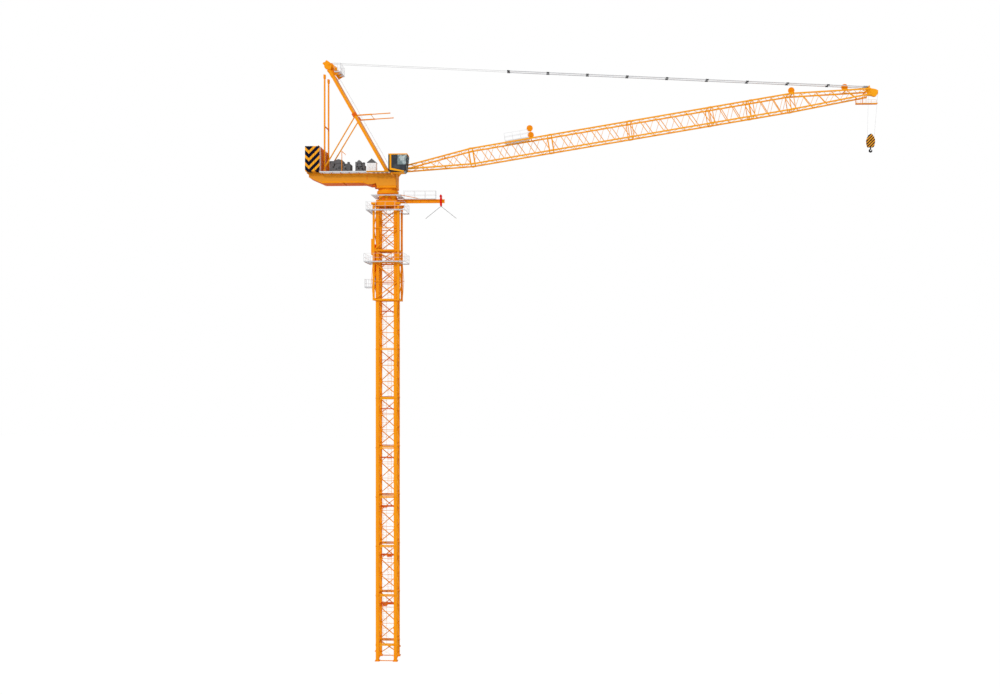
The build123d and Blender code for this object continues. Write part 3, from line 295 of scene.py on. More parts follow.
def grating(low, high, top, well=None):
    """Open grating round a well: bearing bars one way, cross rods the other, and edge strips."""
    bar, depth, pitch = 0.0011, 0.0036, 0.009
    z = top - depth / 2
    parts = []
    lines = int((high[1] - low[1]) / pitch)
    for number in range(1, lines):
        y = low[1] + (high[1] - low[1]) * number / lines
        inside = well and well[2] < y < well[3]
        for a, b in spans(low[0], high[0], well[:2] if inside else None):
            parts.append(member("flat", (a, y, z), (b, y, z), bar, depth))
    lines = int((high[0] - low[0]) / (pitch * 2))
    for number in range(1, lines):
        x = low[0] + (high[0] - low[0]) * number / lines
        inside = well and well[0] < x < well[1]
        for a, b in spans(low[1], high[1], well[2:] if inside else None):
            parts.append(member("flat", (x, a, top - bar), (x, b, top - bar), bar, bar, X))
    rims = [(low[0] + bar, high[0] - bar, low[1] + bar, high[1] - bar)]
    if well:
        rims.append(well)
    for left, right, near_edge, far_edge in rims:
        turn = [(left, near_edge), (right, near_edge), (right, far_edge), (left, far_edge),
                (left, near_edge)]
        for start, end in zip(turn, turn[1:]):
            parts.append(member("flat", (*start, z), (*end, z), depth, bar * 2, Z))
    return parts


def ladder(foot, head, width, across, rung_pitch=0.03):
    """Two stiles and their rungs."""
    stile, rung = 0.005, 0.0028
    side = Vector(across).normalized() * (width / 2)
    run = Vector(head) - Vector(foot)
    parts = [member("flat", Vector(foot) + way * side, Vector(head) + way * side, stile, stile / 2,
                    run.cross(side)) for way in both]
    rungs = int(run.length / rung_pitch)
    for number in range(1, rungs):
        middle = Vector(foot) + run * (number / rungs)
        parts.append(member("rod", middle - side, middle + side, rung))
    return parts


# Materials

class Wire:
    """The value of a socket in a material, which sums and products can use."""

    def __init__(self, finish, socket):
        self.finish = finish
        self.socket = socket

    def maths(self, operation, first, second=0.0):
        return self.finish.node("ShaderNodeMath", {"operation": operation}, {0: first, 1: second})

    def __add__(self, other):
        return self.maths("ADD", self, other)

    def __sub__(self, other):
        return self.maths("SUBTRACT", self, other)

    def __rsub__(self, other):
        return self.maths("SUBTRACT", other, self)

    def __mul__(self, other):
        return self.maths("MULTIPLY", self, other)

    def __truediv__(self, other):
        return self.maths("DIVIDE", self, other)

    def __abs__(self):
        return self.maths("ABSOLUTE", self)

    def __gt__(self, other):
        return self.maths("GREATER_THAN", self, other)

    __radd__ = __add__
    __rmul__ = __mul__

    def share(self):
        """What is left over the last whole number."""
        return self.maths("FRACT", self)


class Finish:
    """A material or the world, its shader and the nodes behind it."""

    def __init__(self, name, slot=None, owner=None, shader="Principled BSDF"):
        self.owner = owner or bpy.data.materials.new(name)
        self.owner.use_nodes = True
        self.slot = slot
        self.tree = self.owner.node_tree
        self.shader = self.tree.nodes[shader]
        self.where = self.node("ShaderNodeTexCoord", output="Object")

    def feed(self, socket, value):
        if isinstance(value, Wire):
            self.tree.links.new(value.socket, socket)
        else:
            socket.default_value = value

    def node(self, kind, settings=None, inputs=None, output=0):
        made = self.tree.nodes.new(kind)
        for name, value in (settings or {}).items():
            if name == "stops":
                ramp = made.color_ramp
                for stop, (place, grey) in zip(ramp.elements, value):
                    stop.position = place
                    stop.color = (grey, grey, grey, 1)
            else:
                setattr(made, name, value)
        for name, value in (inputs or {}).items():
            self.feed(made.inputs[name], value)
        return Wire(self, made.outputs[output])

    def stretch(self, x, y, z):
        """Object coordinates, scaled along each axis."""
        return self.node("ShaderNodeMapping", inputs={"Vector": self.where, "Scale": (x, y, z)})

    def noise(self, scale, detail=3.0, where=None):
        return self.node("ShaderNodeTexNoise", inputs={"Vector": where or self.where, "Scale": scale,
                                                       "Detail": detail, "Roughness": 0.6})

    def ramp(self, value, low, high, low_grey=0.0, high_grey=1.0):
        return self.node("ShaderNodeValToRGB", {"stops": ((low, low_grey), (high, high_grey))}, {0: value})

    def mix(self, share, first, second):
        """Two colours, each a triple or the value of a socket."""
        first, second = [tone if isinstance(tone, Wire) else (*tone, 1.0) for tone in (first, second)]
        return self.node("ShaderNodeMix", {"data_type": "RGBA"}, {0: share, 6: first, 7: second}, output=2)

    def set(self, **sockets):
        """Feeds the shader; an underscore in a socket's name stands for a space."""
        for name, value in sockets.items():
            self.feed(self.shader.inputs[name.replace("_", " ")], value)
        return self

    def bump(self, height, strength, distance):
        return self.set(Normal=self.node("ShaderNodeBump", inputs={"Height": height, "Strength": strength,
                                                                   "Distance": distance}))


dust = (0.50, 0.40, 0.28)
paint_sheen = 0.03


def steel_paint(name, slot, tone, deep, gloss=0.5, dirt=0.03):
    """Gloss paint on steel: a tone that drifts, dust that runs down it and a fine ripple."""
    paint = Finish(name, slot)
    drift = paint.ramp(paint.noise(3.0), 0.35, 0.7)
    streaks = paint.ramp(paint.noise(9.0, 4.0, paint.stretch(7.0, 7.0, 0.6)), 0.55, 0.8, 0.0, dirt)
    specks = paint.ramp(paint.noise(160.0, 2.0), 0.70, 0.78, 0.0, 0.55)
    base = paint.mix(streaks, paint.mix(drift, tone, deep), dust)
    base = paint.mix(specks, base, deep)
    paint.set(Base_Color=base, Roughness=gloss + drift * 0.1 + streaks, Metallic=0.0,
              Specular_IOR_Level=paint_sheen)
    return paint.bump(paint.noise(420.0, 2.0), 0.08, 0.0006)


orange = steel_paint("orange_gloss", "orange_paint", (0.93, 0.335, 0.008), (0.88, 0.29, 0.006))
amber = steel_paint("amber_gloss", "orange_paint", (0.95, 0.41, 0.014), (0.91, 0.36, 0.011))
girder = steel_paint("girder_gloss", "girder_paint", (0.80, 0.31, 0.025), (0.74, 0.27, 0.02))
flame = steel_paint("flame_gloss", "orange_paint", (0.80, 0.15, 0.008), (0.72, 0.11, 0.006))
signal_red = steel_paint("signal_red_gloss", "red_paint", (0.78, 0.004, 0.006), (0.68, 0.004, 0.005))
machine_grey = steel_paint("machine_grey", "grey_paint", (0.19, 0.19, 0.195), (0.11, 0.11, 0.115), dirt=0.1)
cabinet_white = steel_paint("cabinet_white", "cabinet_paint", (0.94, 0.94, 0.94), (0.90, 0.90, 0.90))
black = steel_paint("black_enamel", "dark_steel", (0.012, 0.013, 0.015), (0.02, 0.02, 0.022), 0.4, 0.1)


def zinc_finish():
    """Hot-dip zinc, with its spangle and a chalky bloom."""
    metal = Finish("zinc", "galvanised")
    spangle = metal.node("ShaderNodeTexVoronoi", inputs={"Vector": metal.where, "Scale": 240.0})
    bloom = metal.ramp(metal.noise(30.0), 0.4, 0.7)
    tone = metal.mix(spangle, (0.62, 0.63, 0.65), (0.50, 0.51, 0.53))
    metal.set(Base_Color=metal.mix(bloom * 0.5, tone, (0.72, 0.72, 0.72)), Metallic=0.1,
              Roughness=0.42 + bloom * 0.15)
    return metal.bump(spangle, 0.1, 0.0004)


def bare_steel_finish():
    """Machined steel with turning marks and a film of grease."""
    metal = Finish("machined_steel", "dark_steel")
    marks = metal.noise(700.0, 2.0, metal.stretch(1.0, 0.1, 1.0))
    grease = metal.ramp(metal.noise(50.0), 0.45, 0.65)
    metal.set(Base_Color=metal.mix(grease, (0.34, 0.34, 0.35), (0.10, 0.095, 0.09)), Metallic=0.6,
              Roughness=0.28 + grease * 0.25)
    return metal.bump(marks, 0.1, 0.0003)


def rope_finish():
    """Wire rope: the lay of its strands shows as slanting ridges."""
    strand = Finish("wire_rope", "wire")
    lay = strand.node("ShaderNodeTexWave", {"wave_type": "BANDS", "bands_direction": "DIAGONAL"},
                      {"Vector": strand.where, "Scale": 260.0, "Distortion": 0.0})
    strand.set(Base_Color=strand.mix(lay, (0.20, 0.20, 0.21), (0.36, 0.36, 0.37)), Metallic=0.3,
               Roughness=0.45)
    return strand.bump(lay, 0.5, 0.0006)


def hazard_finish(name, slot, pitch, middle):
    """Orange and dark blue bands that rise to both sides of an upright line."""
    paint = Finish(name, slot)
    place = {axis: paint.node("ShaderNodeSeparateXYZ", inputs={0: paint.where}, output=axis)
             for axis in "XZ"}
    bands = ((place["Z"] - abs(place["X"] - middle)) / pitch + 40.0).share() > 0.43
    drift = paint.ramp(paint.noise(6.0), 0.35, 0.7)
    warm = paint.mix(drift, (0.97, 0.42, 0.02), (0.92, 0.36, 0.015))
    cold = paint.mix(drift, (0.003, 0.004, 0.020), (0.006, 0.008, 0.026))
    paint.set(Base_Color=paint.mix(bands, warm, cold), Roughness=0.5 + drift * 0.12,
              Specular_IOR_Level=paint_sheen)
    return paint.bump(paint.noise(380.0, 2.0), 0.1, 0.0006)


def glass_finish(name, tone, painted_reflection_tone):
    """Cab glass, seen as a dark or pale pane with a strong gloss; its paler streaks and a pale pane are a
    painted reflection.
    """
    glass = Finish(name, "cab_glass")
    smudges_and_painted_reflection = glass.ramp(glass.noise(22.0), 0.45, 0.75)
    # Noise blends the pane tone towards a paler tone as painted reflection streaks, and also roughens the
    # glass
    glass.set(Base_Color=glass.mix(smudges_and_painted_reflection, tone, painted_reflection_tone), Roughness=0.06 + smudges_and_painted_reflection * 0.2, Specular_IOR_Level=0.4)
    return glass


zinc = zinc_finish()
bare_steel = bare_steel_finish()
wire = rope_finish()
weight_low, weight_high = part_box("counterweights")
weight_bands = hazard_finish("weight_bands", "weight_paint", 0.092, weight_low.x + 0.048)
dark_glass = glass_finish("dark_glass", (0.020, 0.026, 0.034), (0.05, 0.058, 0.07))
# Pale glass: a pale base colour with whiter streaks, a painted reflection on the glass
painted_reflection_glass = glass_finish("painted_reflection_glass", (0.16, 0.22, 0.23), (0.70, 0.80, 0.80))


def coat(piece, finish):
    piece.data.materials.clear()
    piece.data.materials.append(finish.owner)


def dressed(name, parts, finish):
    """Joins parts into one piece with its finish."""
    piece = joined(name, parts)
    only(piece)
    bpy.ops.object.shade_smooth_by_angle(angle=smooth_angle)
    coat(piece, finish)
    return piece


def put(name, parts, body, finish, *nodes):
    """A finished piece on a body, which hides the plain nodes it stands for."""
    piece = dressed(name, parts, finish)
    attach(piece, body)
    if nodes:
        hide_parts(*nodes)
    return piece


def repaint(finish, *nodes):
    """Puts a finish on nodes whose shape stays as packed."""
    for node in nodes:
        coat(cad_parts[node], finish)


# Mast: one full section is modelled once and copied up the tower
half_mast = 0.110
leg = 0.038
collar = leg * 0.56
brace = 0.0100
thin_brace = 0.0016
near_side = 0
joint_bar = 0.012
end_gap = 0.018
panels = 3
rest_drop = 0.135
ladder_y = -0.045
corners = [(-1, -1), (1, -1), (1, 1), (-1, 1)]


def face_of(side):
    """The two corners of one side of the tower, the way that side faces, and the way along it."""
    a, b = corners[side], corners[(side + 1) % 4]
    along = Vector((b[0] - a[0], b[1] - a[1], 0)).normalized()
    return a, b, ((a[0] + b[0]) / 2, (a[1] + b[1]) / 2, 0), along


def at(corner, half, level):
    """A point at one corner of a square tower."""
    return Vector((corner[0] * half, corner[1] * half, level))


def crossed_panel(half, side, low, high, size):
    """Two crossing angles and the plate that joins them; thin rods on the near side."""
    a, b, out, along = face_of(side)
    pairs = ((1, a, b), (-1, b, a))
    if side == near_side:
        return [member("rod", at(p, half, low), at(q, half, high), thin_brace) for way, p, q in pairs]
    skin = Vector(out) * (size * 0.3)
    parts = [member("angle", at(p, half, low) + skin * way, at(q, half, high) + skin * way, size, size, out)
             for way, p, q in pairs]
    middle = at(out, half, (low + high) / 2)
    joint = axes(middle + skin * 1.4, along, out)
    parts.append(drawn([ring(size * 1.1, 8, pi / 8)], size * 0.25, 0.0, joint))
    return parts


def level_ring(half, level, size, kind="angle", height=None):
    parts = []
    for side in range(4):
        a, b, out, along = face_of(side)
        parts.append(member(kind, at(a, half, level), at(b, half, level), size, height or size, out))
    return parts


def gussets(level):
    """Corner plates that take the braces into the mast legs at one level."""
    reach, thick, proud = 0.013, 0.0018, 0.004
    outline = [(0, -reach), (reach * 0.7, -reach * 0.3), (reach * 0.7, reach * 0.3), (0, reach)]
    parts = []
    for side in range(4):
        a, b, out, along = face_of(side)
        for corner, way in ((a, 1), (b, -1)):
            origin = at(corner, half_mast, level) + Vector(out) * proud + along * way * (leg / 2)
            shape = [(way * x, y) for x, y in outline][::way]
            parts.append(drawn([shape], thick, 0.0, axes(origin, along, out)))
    return parts


def mast_steel(height):
    """Legs, joint collars, rings and crossed braces of one section that stands on zero."""
    legs = []
    for x, y in corners:
        cx, cy = x * half_mast, y * half_mast
        legs.append(post(cx, cy, leg / 2, 0.0, height, 0.0025))
        for level in (0.0, height - 0.011):
            legs.append(post(cx, cy, collar, level + 0.0005, level + 0.0105, 0.0015))
    laces = []
    step = height / panels
    for level in (0.008, height - 0.008):
        laces += level_ring(half_mast, level, joint_bar, "channel")
    for panel in range(panels):
        low = panel * step + (0 if panel else end_gap)
        high = (panel + 1) * step - (end_gap if panel == panels - 1 else 0)
        if panel:
            laces += level_ring(half_mast, low, 0.0045)
            laces += gussets(low)
        for side in range(4):
            laces += crossed_panel(half_mast, side, low, high, brace)
    return joined("legs", legs), joined("laces", laces)


def mast_inside(height, lean):
    """The ladder up the inside of a section, with its wall ties."""
    x = 0.03 * lean
    parts = ladder((x, ladder_y, 0.0), (x, ladder_y, height), 0.045, X)
    for level in (height * 0.22, height * 0.5, height * 0.86):
        for way in both:
            tie_x = x + way * 0.022
            parts.append(member("flat", (tie_x, ladder_y, level), (tie_x, -0.105, level), 0.004, 0.0015, Z))
    return joined("ladder", parts)


def rest_floor(height, lean):
    """A floor of chequer plate on two bearers, and a hatch plate at the ladder."""
    level = height - rest_drop
    left, right = 0.03 * lean - 0.032, 0.03 * lean + 0.032
    edge = half_mast - 0.012
    floor = [drawn([outline], 0.0020, 0.0, raised(level))
             for outline in ([(-edge, 0.0), (edge, 0.0), (edge, edge), (-edge, edge)],
                             [(left, -0.092), (right, -0.092), (right, -0.01), (left, -0.01)])]
    for y in (0.003, 0.094):
        floor.append(member("channel", (-edge, y, level - 0.002), (edge, y, level - 0.002), 0.005, 0.005, Z))
    return joined("floor", floor)


def copy_up(source, level):
    """A copy of a piece with its own mesh, raised to a level."""
    mesh = source.data.copy()
    mesh.transform(raised(level))
    return [link(source.name, mesh)]


like_sections = [name for name in sorted(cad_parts) if name.startswith("mast_section_")]
section_low, section_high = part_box(like_sections[0])
section_height = section_high.z - section_low.z
model_legs, model_laces = mast_steel(section_height)
model_ladders = [mast_inside(section_height, lean) for lean in both]
model_floors = [rest_floor(section_height, lean) for lean in both]
for number, node in enumerate(like_sections):
    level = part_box(node)[0].z
    put(node + "_legs", copy_up(model_legs, level), "mast", orange, node)
    put(node + "_braces", copy_up(model_laces, level), "mast", amber)
    put(node + "_ladder", copy_up(model_ladders[number % 2], level), "mast", amber)
    put(node + "_floor", copy_up(model_floors[number % 2], level), "mast", flame)
for model in (model_legs, model_laces, *model_ladders, *model_floors):
    bpy.data.objects.remove(model)

top_low, top_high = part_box("mast_top_section")
top_height = top_high.z - top_low.z
top_legs, top_laces = mast_steel(top_height)
top_ladder = mast_inside(top_height, -1)
for piece in (top_legs, top_laces, top_ladder):
    piece.data.transform(raised(top_low.z))
put("mast_top_legs", [top_legs], "mast", orange, "mast_top_section")
put("mast_top_braces", [top_laces], "mast", amber)
put("mast_top_ladder", [top_ladder], "mast", amber)

# Mast base: flared feet, a joint ring and one crossed panel a side
base_low, base_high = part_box("mast_base_section")
foot_top, base_top = base_low.z, base_high.z
half_leg = leg / 2
flare_out = half_leg + 0.001
flare_in = half_leg - 0.004
flare = [(-flare_out, 0), (flare_out, 0), (flare_out, 0.006), (flare_in, 0.030), (-flare_in, 0.030),
         (-flare_out, 0.006)]
ear = [(0, -0.009), (0.013, -0.007), (0.013, 0.005), (0, 0.011)]
ear_level = 0.12
base_legs = []
for x, y in corners:
    cx, cy = x * half_mast, y * half_mast
    base_legs.append(post(cx, cy, half_leg, foot_top, base_top, 0.0025))
    base_legs.append(post(cx, cy, collar, base_top - 0.0115, base_top - 0.0005, 0.0015))
    for way in both:
        rib_y = cy + way * (half_leg + 0.0018)
        base_legs.append(upright_plate([[(cx + u, foot_top + v) for u, v in flare]], rib_y - 0.0018,
                                       rib_y + 0.0018))
    base_legs.append(drawn([ear], 0.014, 0.0006, axes((cx + x * half_leg, cy + x * 0.007, ear_level),
                                                      (x, 0, 0), (0, -x, 0))))
base_laces = level_ring(half_mast, base_top - 0.008, joint_bar, "channel")
for side in range(4):
    base_laces += crossed_panel(half_mast, side, foot_top + 0.03, base_top - end_gap, brace)
put("mast_base_legs", base_legs, "mast", orange, "mast_base_section")
put("mast_base_braces", base_laces, "mast", amber)

# Foot plates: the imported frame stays, with anchor nuts on it
repaint(orange, "base_frame")
anchors = [bolt(at(corner, half_mast + 0.0245, foot_top), Z, 0.0032) for corner in corners]
put("anchor_nuts", anchors, "mast", bare_steel)

# Climbing cage round the top of the mast
cage_low, cage_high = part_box("climbing_cage")
half_cage = 0.150
cage_chord = 0.024
cage_ring = 0.018
ring_levels = [cage_low.z + cage_ring / 2, 4.851, 5.001, cage_high.z - cage_ring / 2]
cage = [post(x * half_cage, y * half_cage, cage_chord / 2, cage_low.z, cage_high.z, 0.002)
        for x, y in corners]
for level in ring_levels:
    cage += level_ring(half_cage, level, 0.014, "box", cage_ring)


def cage_bar(start, end, low, high, size, out):
    return member("box", at(start, half_cage, low), at(end, half_cage, high), size, size, out)


for low, high, braced in ((*ring_levels[:2], (0, 1, 2, 3)), (*ring_levels[2:], (0, 2, 3))):
    middle = (low + high) / 2
    for side in braced:
        a, b, out, along = face_of(side)
        cage += [cage_bar(a, b, low, middle, 0.010, out), cage_bar(b, a, middle, high, 0.010, out),
                 cage_bar(a, b, middle, middle, 0.008, out)]
for side in range(4):
    a, b, out, along = face_of(side)
    cage += [cage_bar(a, b, *ring_levels[1:3], 0.009, out), cage_bar(b, a, *ring_levels[1:3], 0.009, out)]
put("cage_frame", cage, "mast", orange, "climbing_cage")

# Bowed struts on both sides of the lower half of the cage
strut_apex, strut_level, strut = 0.176, 4.640, 0.006
struts = []
for way in both:
    for y in (-half_cage, half_cage):
        foot = (way * (half_cage + 0.008), y, cage_low.z + 0.012)
        apex = (way * strut_apex, y, strut_level)
        head = (way * (half_cage + 0.010), y, ring_levels[1])
        struts += [member("tube", foot, apex, strut), member("tube", apex, head, strut),
                   member("box", apex, (way * half_cage, y, strut_level), 0.007),
                   spun([(0, -0.006), (0.006, -0.005), (0.006, 0.005), (0, 0.006)], apex, 12)]
put("cage_struts", struts, "mast", amber)

# Guide rollers of the cage, seated against the mast legs
roller = [(0, -0.008), (0.0035, -0.008), (0.0042, -0.006), (0.0042, 0.006), (0.0035, 0.008), (0, 0.008)]
rollers = [spun(roller, (x * (half_mast + half_leg + 0.0045), y * (half_mast - 0.004), level), 16)
           for level in (cage_low.z + 0.03, *ring_levels[1:3], cage_high.z - 0.05) for x, y in corners]
put("cage_rollers", rollers, "mast", bare_steel)

# Climbing hydraulics: housing with a door and louvres, and the ram with its rod
pack_x, pack_face, pack_level = -0.1623, -0.150, 4.9447
housing = [block((pack_x - 0.020, pack_face, pack_level), (pack_x, -0.060, pack_level + 0.195), 0.003)]
for number in range(7):
    z = pack_level + 0.02 + number * 0.008
    housing.append(member("flat", (pack_x - 0.017, pack_face - 0.0005, z),
                          (pack_x - 0.004, pack_face - 0.0005, z), 0.001, 0.003))
housing.append(block((pack_x - 0.018, pack_face - 0.0015, pack_level + 0.095),
                     (pack_x - 0.004, pack_face, pack_level + 0.185), 0.0006))
put("pump_housing", housing, "mast", amber, "climbing_hydraulics")
ram_x, ram_y = -0.1663, 0.060
ram_low, ram_high, rod_low = 4.6797, 5.0797, 4.5797
ram_place = axes((ram_x, ram_y, 0), X, Z)
barrel = turned([(0, ram_low), (0.0075, ram_low), (0.009, ram_low + 0.002), (0.009, ram_low + 0.014),
                 (0.0078, ram_low + 0.016), (0.0078, ram_high - 0.016), (0.009, ram_high - 0.014),
                 (0.009, ram_high), (0, ram_high)], ram_place, 24)
clevises = [block((ram_x - 0.008, ram_y - 0.012, level - 0.012),
                  (ram_x + 0.008, ram_y + 0.012, level + 0.012), 0.002)
            for level in (ram_high, rod_low - 0.01)]
put("climbing_ram", [barrel, *clevises], "mast", signal_red)
ram_rod = turned([(0, rod_low), (0.005, rod_low), (0.005, ram_low + 0.001), (0, ram_low + 0.001)],
                 ram_place, 20)
put("climbing_ram_rod", [ram_rod], "mast", bare_steel)

# Platforms of the cage: open grating on bearers with railings, and an open frame on the right
cage_hole = half_cage + cage_chord / 2 + 0.0003
cage_well = (-cage_hole, cage_hole, -cage_hole, cage_hole)
platform_rise = 0.004
platform_right = 0.236
for node, left, half in (("upper_platform", -0.236, 0.215), ("lower_platform", -0.262, 0.220)):
    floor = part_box(node)[0].z + platform_rise
    parts = grating((left, -half), (cage_hole + 0.010, half), floor, cage_well)
    for x in (left + 0.01, -cage_hole - 0.006, cage_hole + 0.006):
        parts.append(beam_over("channel", x, floor - 0.006, half, 0.006, 0.006, X))
    for y in (-half + 0.0015, half - 0.0015):
        parts.append(member("channel", (cage_hole, y, floor - 0.003), (platform_right, y, floor - 0.003),
                            0.006, 0.003, Z))
    put(node + "_floor", parts, "mast", zinc, node)
    edge = 0.003
    line = [(left + edge, -half + edge), (platform_right - edge, -half + edge),
            (platform_right - edge, half - edge), (left + edge, half - edge), (left + edge, -half + edge)]
    put(node + "_rails", railing(line, floor, board=0.007), "mast", zinc)

low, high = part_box("side_platform")
floor = low.z + platform_rise
put("side_platform_floor", grating((low.x, low.y), (high.x, high.y), floor), "mast", zinc, "side_platform")
line = [(high.x - 0.003, low.y + 0.002), (low.x + 0.002, low.y + 0.002), (low.x + 0.002, high.y - 0.002),
        (high.x - 0.003, high.y - 0.002)]
put("side_platform_rails", railing(line, floor, pitch=0.06), "mast", zinc)

# Turntables and slewing ring: painted as packed, with a seal, frame bands, ribs and peaks
repaint(orange, "lower_turntable", "upper_turntable", "slewing_ring")
frame_half, frame_foot = 0.125, 5.562
drum_level, ring_level = 5.615, 5.685
upright = Matrix.Identity(4)
seal = [(0.1325, ring_level + 0.002), (0.1345, ring_level + 0.004), (0.1345, ring_level + 0.010),
        (0.1325, ring_level + 0.012)]
put("ring_seal", [turned(seal, upright, 64)], "mast", flame)
band = [(x * (frame_half + 0.004), y * (frame_half + 0.004)) for x, y in corners]
bands = [drawn([band, ring(0.103, 24)[::-1]], 0.006, 0.0008, raised(level)) for level in (5.556, 5.609)]
put("turntable_bands", bands, "mast", orange)
rib = [(0, 0), (0.004, 0.0), (0.004, 0.047), (0, 0.047)]
peak = [(-0.030, 0.0), (0.030, 0.0), (0.0, 0.046)]
stiffeners = []
for side in range(4):
    a, b, out, along = face_of(side)
    for shift in (-0.075, 0.0, 0.075):
        foot = at(out, frame_half - 0.0005, frame_foot) + along * shift
        stiffeners.append(drawn([rib], 0.003, 0.0, axes(foot, out, along)))
    for shift in (-0.036, 0.036):
        foot = at(out, frame_half - 0.010, drum_level) + along * shift
        stiffeners.append(drawn([peak], 0.004, 0.0005, axes(foot, along, out)))
put("turntable_ribs", stiffeners, "mast", flame)

low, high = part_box("ring_platform")
ring_well = (-0.118, 0.118, -0.118, 0.118)
ring_floor = grating((low.x, low.y), (high.x, high.y), high.z, ring_well)
put("ring_platform_floor", ring_floor, "mast", zinc, "ring_platform")

# Neck and pedestal: flange bands with ribs between them
neck_foot, neck_top = 5.7315, 5.7565
neck = [turned([(0.110, level), (0.120, level), (0.120, level + 0.005), (0.110, level + 0.005)], upright, 48)
        for level in (neck_foot, neck_top)]
for x, y in ring(0.1125, 24):
    neck.append(member("flat", (x, y, neck_foot + 0.005), (x, y, neck_top), 0.003, 0.009, (-y, x, 0)))
flange = [(x * 0.121, y * 0.133) for x, y in corners]
neck += [drawn([flange], 0.004, 0.0006, raised(level)) for level in (5.7625, 5.783)]
put("neck_bands", neck, "upperworks", orange)

# Slewing drives: two gear cases that hang from the haunch of the deck
case_foot = 5.780
drive = [(0, 0), (0.020, 0), (0.026, 0.004), (0.026, 0.012), (0.022, 0.014), (0.022, 0.022), (0.026, 0.024),
         (0.026, 0.036), (0, 0.036)]
drives = [turned([(r, case_foot + h) for r, h in drive], Matrix.Translation((-0.149, y, 0)), 28)
          for y in (-0.085, 0.085)]
put("slewing_drives", drives, "upperworks", flame)

# Machinery deck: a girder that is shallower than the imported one, with flange strips, a web
# seam, the counterweight cradle, the lugs of the jib heel and the bracket of the cab
deck_top, deck_bottom, pedestal_top, tail_bottom = 5.9435, 5.8275, 5.7875, 5.8985
deck_tail, deck_nose = -0.951, 0.117
belly_start, belly_end, haunch_start, haunch_end = -0.790, -0.282, -0.212, -0.176
haunch_bottom = 5.806
half_deck, web = 0.130, 0.008
heel = Vector((0.160, 0.0, 6.0005))
half_jib = 0.095
belly = [(deck_tail, tail_bottom), (belly_start, deck_bottom), (belly_end, deck_bottom),
         (haunch_start, haunch_bottom)]
haunch = [(haunch_end, haunch_bottom), (-0.128, 5.818), (-0.118, pedestal_top), (deck_nose, pedestal_top)]
deck_outline = [(deck_tail, deck_top), *belly, *haunch, (deck_nose, deck_top)]
deck = [upright_plate([deck_outline], y, y + web) for y in (-half_deck, half_deck - web)]
inner = half_deck - web


def deck_plate(x_low, x_high, z_low, z_high):
    return block((x_low, -inner, z_low), (x_high, inner, z_high))


deck += [deck_plate(deck_tail, deck_nose, deck_top - web, deck_top),
         deck_plate(deck_tail, deck_tail + web, tail_bottom, deck_top - web),
         deck_plate(deck_nose - web, deck_nose, pedestal_top, deck_top - web)]
for x in (belly_start, -0.610, -0.430, belly_end, -0.118):
    deck.append(deck_plate(x, x + web, deck_bottom, deck_top - web))
cradle_start, cradle_end, cradle_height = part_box("machinery_deck")[0].x, -0.800, 0.012
deck.append(block((cradle_start, -half_deck, deck_top), (cradle_end, half_deck, deck_top + cradle_height)))
lug = [(0.063, deck_top), (deck_nose, deck_top - 0.016), (heel.x + 0.016, heel.z - 0.006),
       (heel.x + 0.016, heel.z + 0.006), (heel.x + 0.006, heel.z + 0.016), (heel.x - 0.006, heel.z + 0.016)]
for y in (-half_jib, half_jib):
    for way in both:
        deck.append(upright_plate([lug, hole(heel.x, heel.z, 0.0062, 24)],
                                  *sorted((y + way * 0.010, y + way * 0.018))))
bracket_x, bracket_z = 0.0955, 5.9055
deck.append(member("box", (bracket_x, -0.322, bracket_z), (bracket_x, -half_deck, bracket_z), 0.016,
                   0.036, X))
put("deck_girder", deck, "upperworks", girder, "machinery_deck")
seam_gap, seam_x = 0.008, -0.530
strips = [belly[:2], [(belly_start + seam_gap, deck_bottom), (seam_x, deck_bottom)],
          [(seam_x + seam_gap, deck_bottom), belly[2]], belly[2:]]
# The underside strips and the haunch plate are flame red: painted shade for the dark underside and inside of
# the girder
painted_shade_soffit, edging = [], []
for (x, z), (u, t) in strips:
    painted_shade_soffit.append(member("flat", (x, 0.012, z), (u, 0.012, t), 2 * half_deck - 0.040, 0.004))
    edging.append(member("flat", (x, -half_deck + 0.012, z), (u, -half_deck + 0.012, t), 0.026, 0.005))
painted_shade_soffit.append(deck_plate(haunch_start, haunch_end, haunch_bottom - 0.002, haunch_bottom + 0.002))
put("deck_soffit_painted_shade", painted_shade_soffit, "upperworks", flame)
trim = 0.0025
seams = []
for way in both:
    y = way * (half_deck + 0.0008)
    for start, end, z, height in ((deck_tail, deck_nose, deck_top - 0.010, 0.018),
                                  (belly_start, belly_end, deck_bottom + 0.009, 0.014)):
        edging.append(member("flat", (start, y, z), (end, y, z), trim, height))
    seams.append(member("flat", (-0.235, y, deck_bottom + 0.030), (-0.235, y, deck_top - 0.034), trim,
                        0.006))
put("deck_web_edging", edging, "upperworks", orange)
put("deck_web_seams", seams, "upperworks", flame)

# Boss rings and pin heads on the lugs of the jib heel
boss = [(0.0062, 0), (0.013, 0), (0.013, 0.0015), (0.0075, 0.002), (0.0062, 0.002)]
pin_head = [(0, 0), (0.0085, 0), (0.0085, 0.0025), (0.007, 0.0035), (0, 0.0035)]
lug_faces = [(y, way) for y in (-half_jib, half_jib) for way in both]
bosses = [spun(boss, (heel.x, y + way * 0.018, heel.z), 28, way) for y, way in lug_faces]
put("heel_bosses", bosses, "upperworks", orange)
pin_heads = [spun(pin_head, (heel.x, y + way * 0.0185, heel.z), 24, way) for y, way in lug_faces]
put("heel_pin_heads", pin_heads, "upperworks", bare_steel)
repaint(bare_steel, "heel_pins")
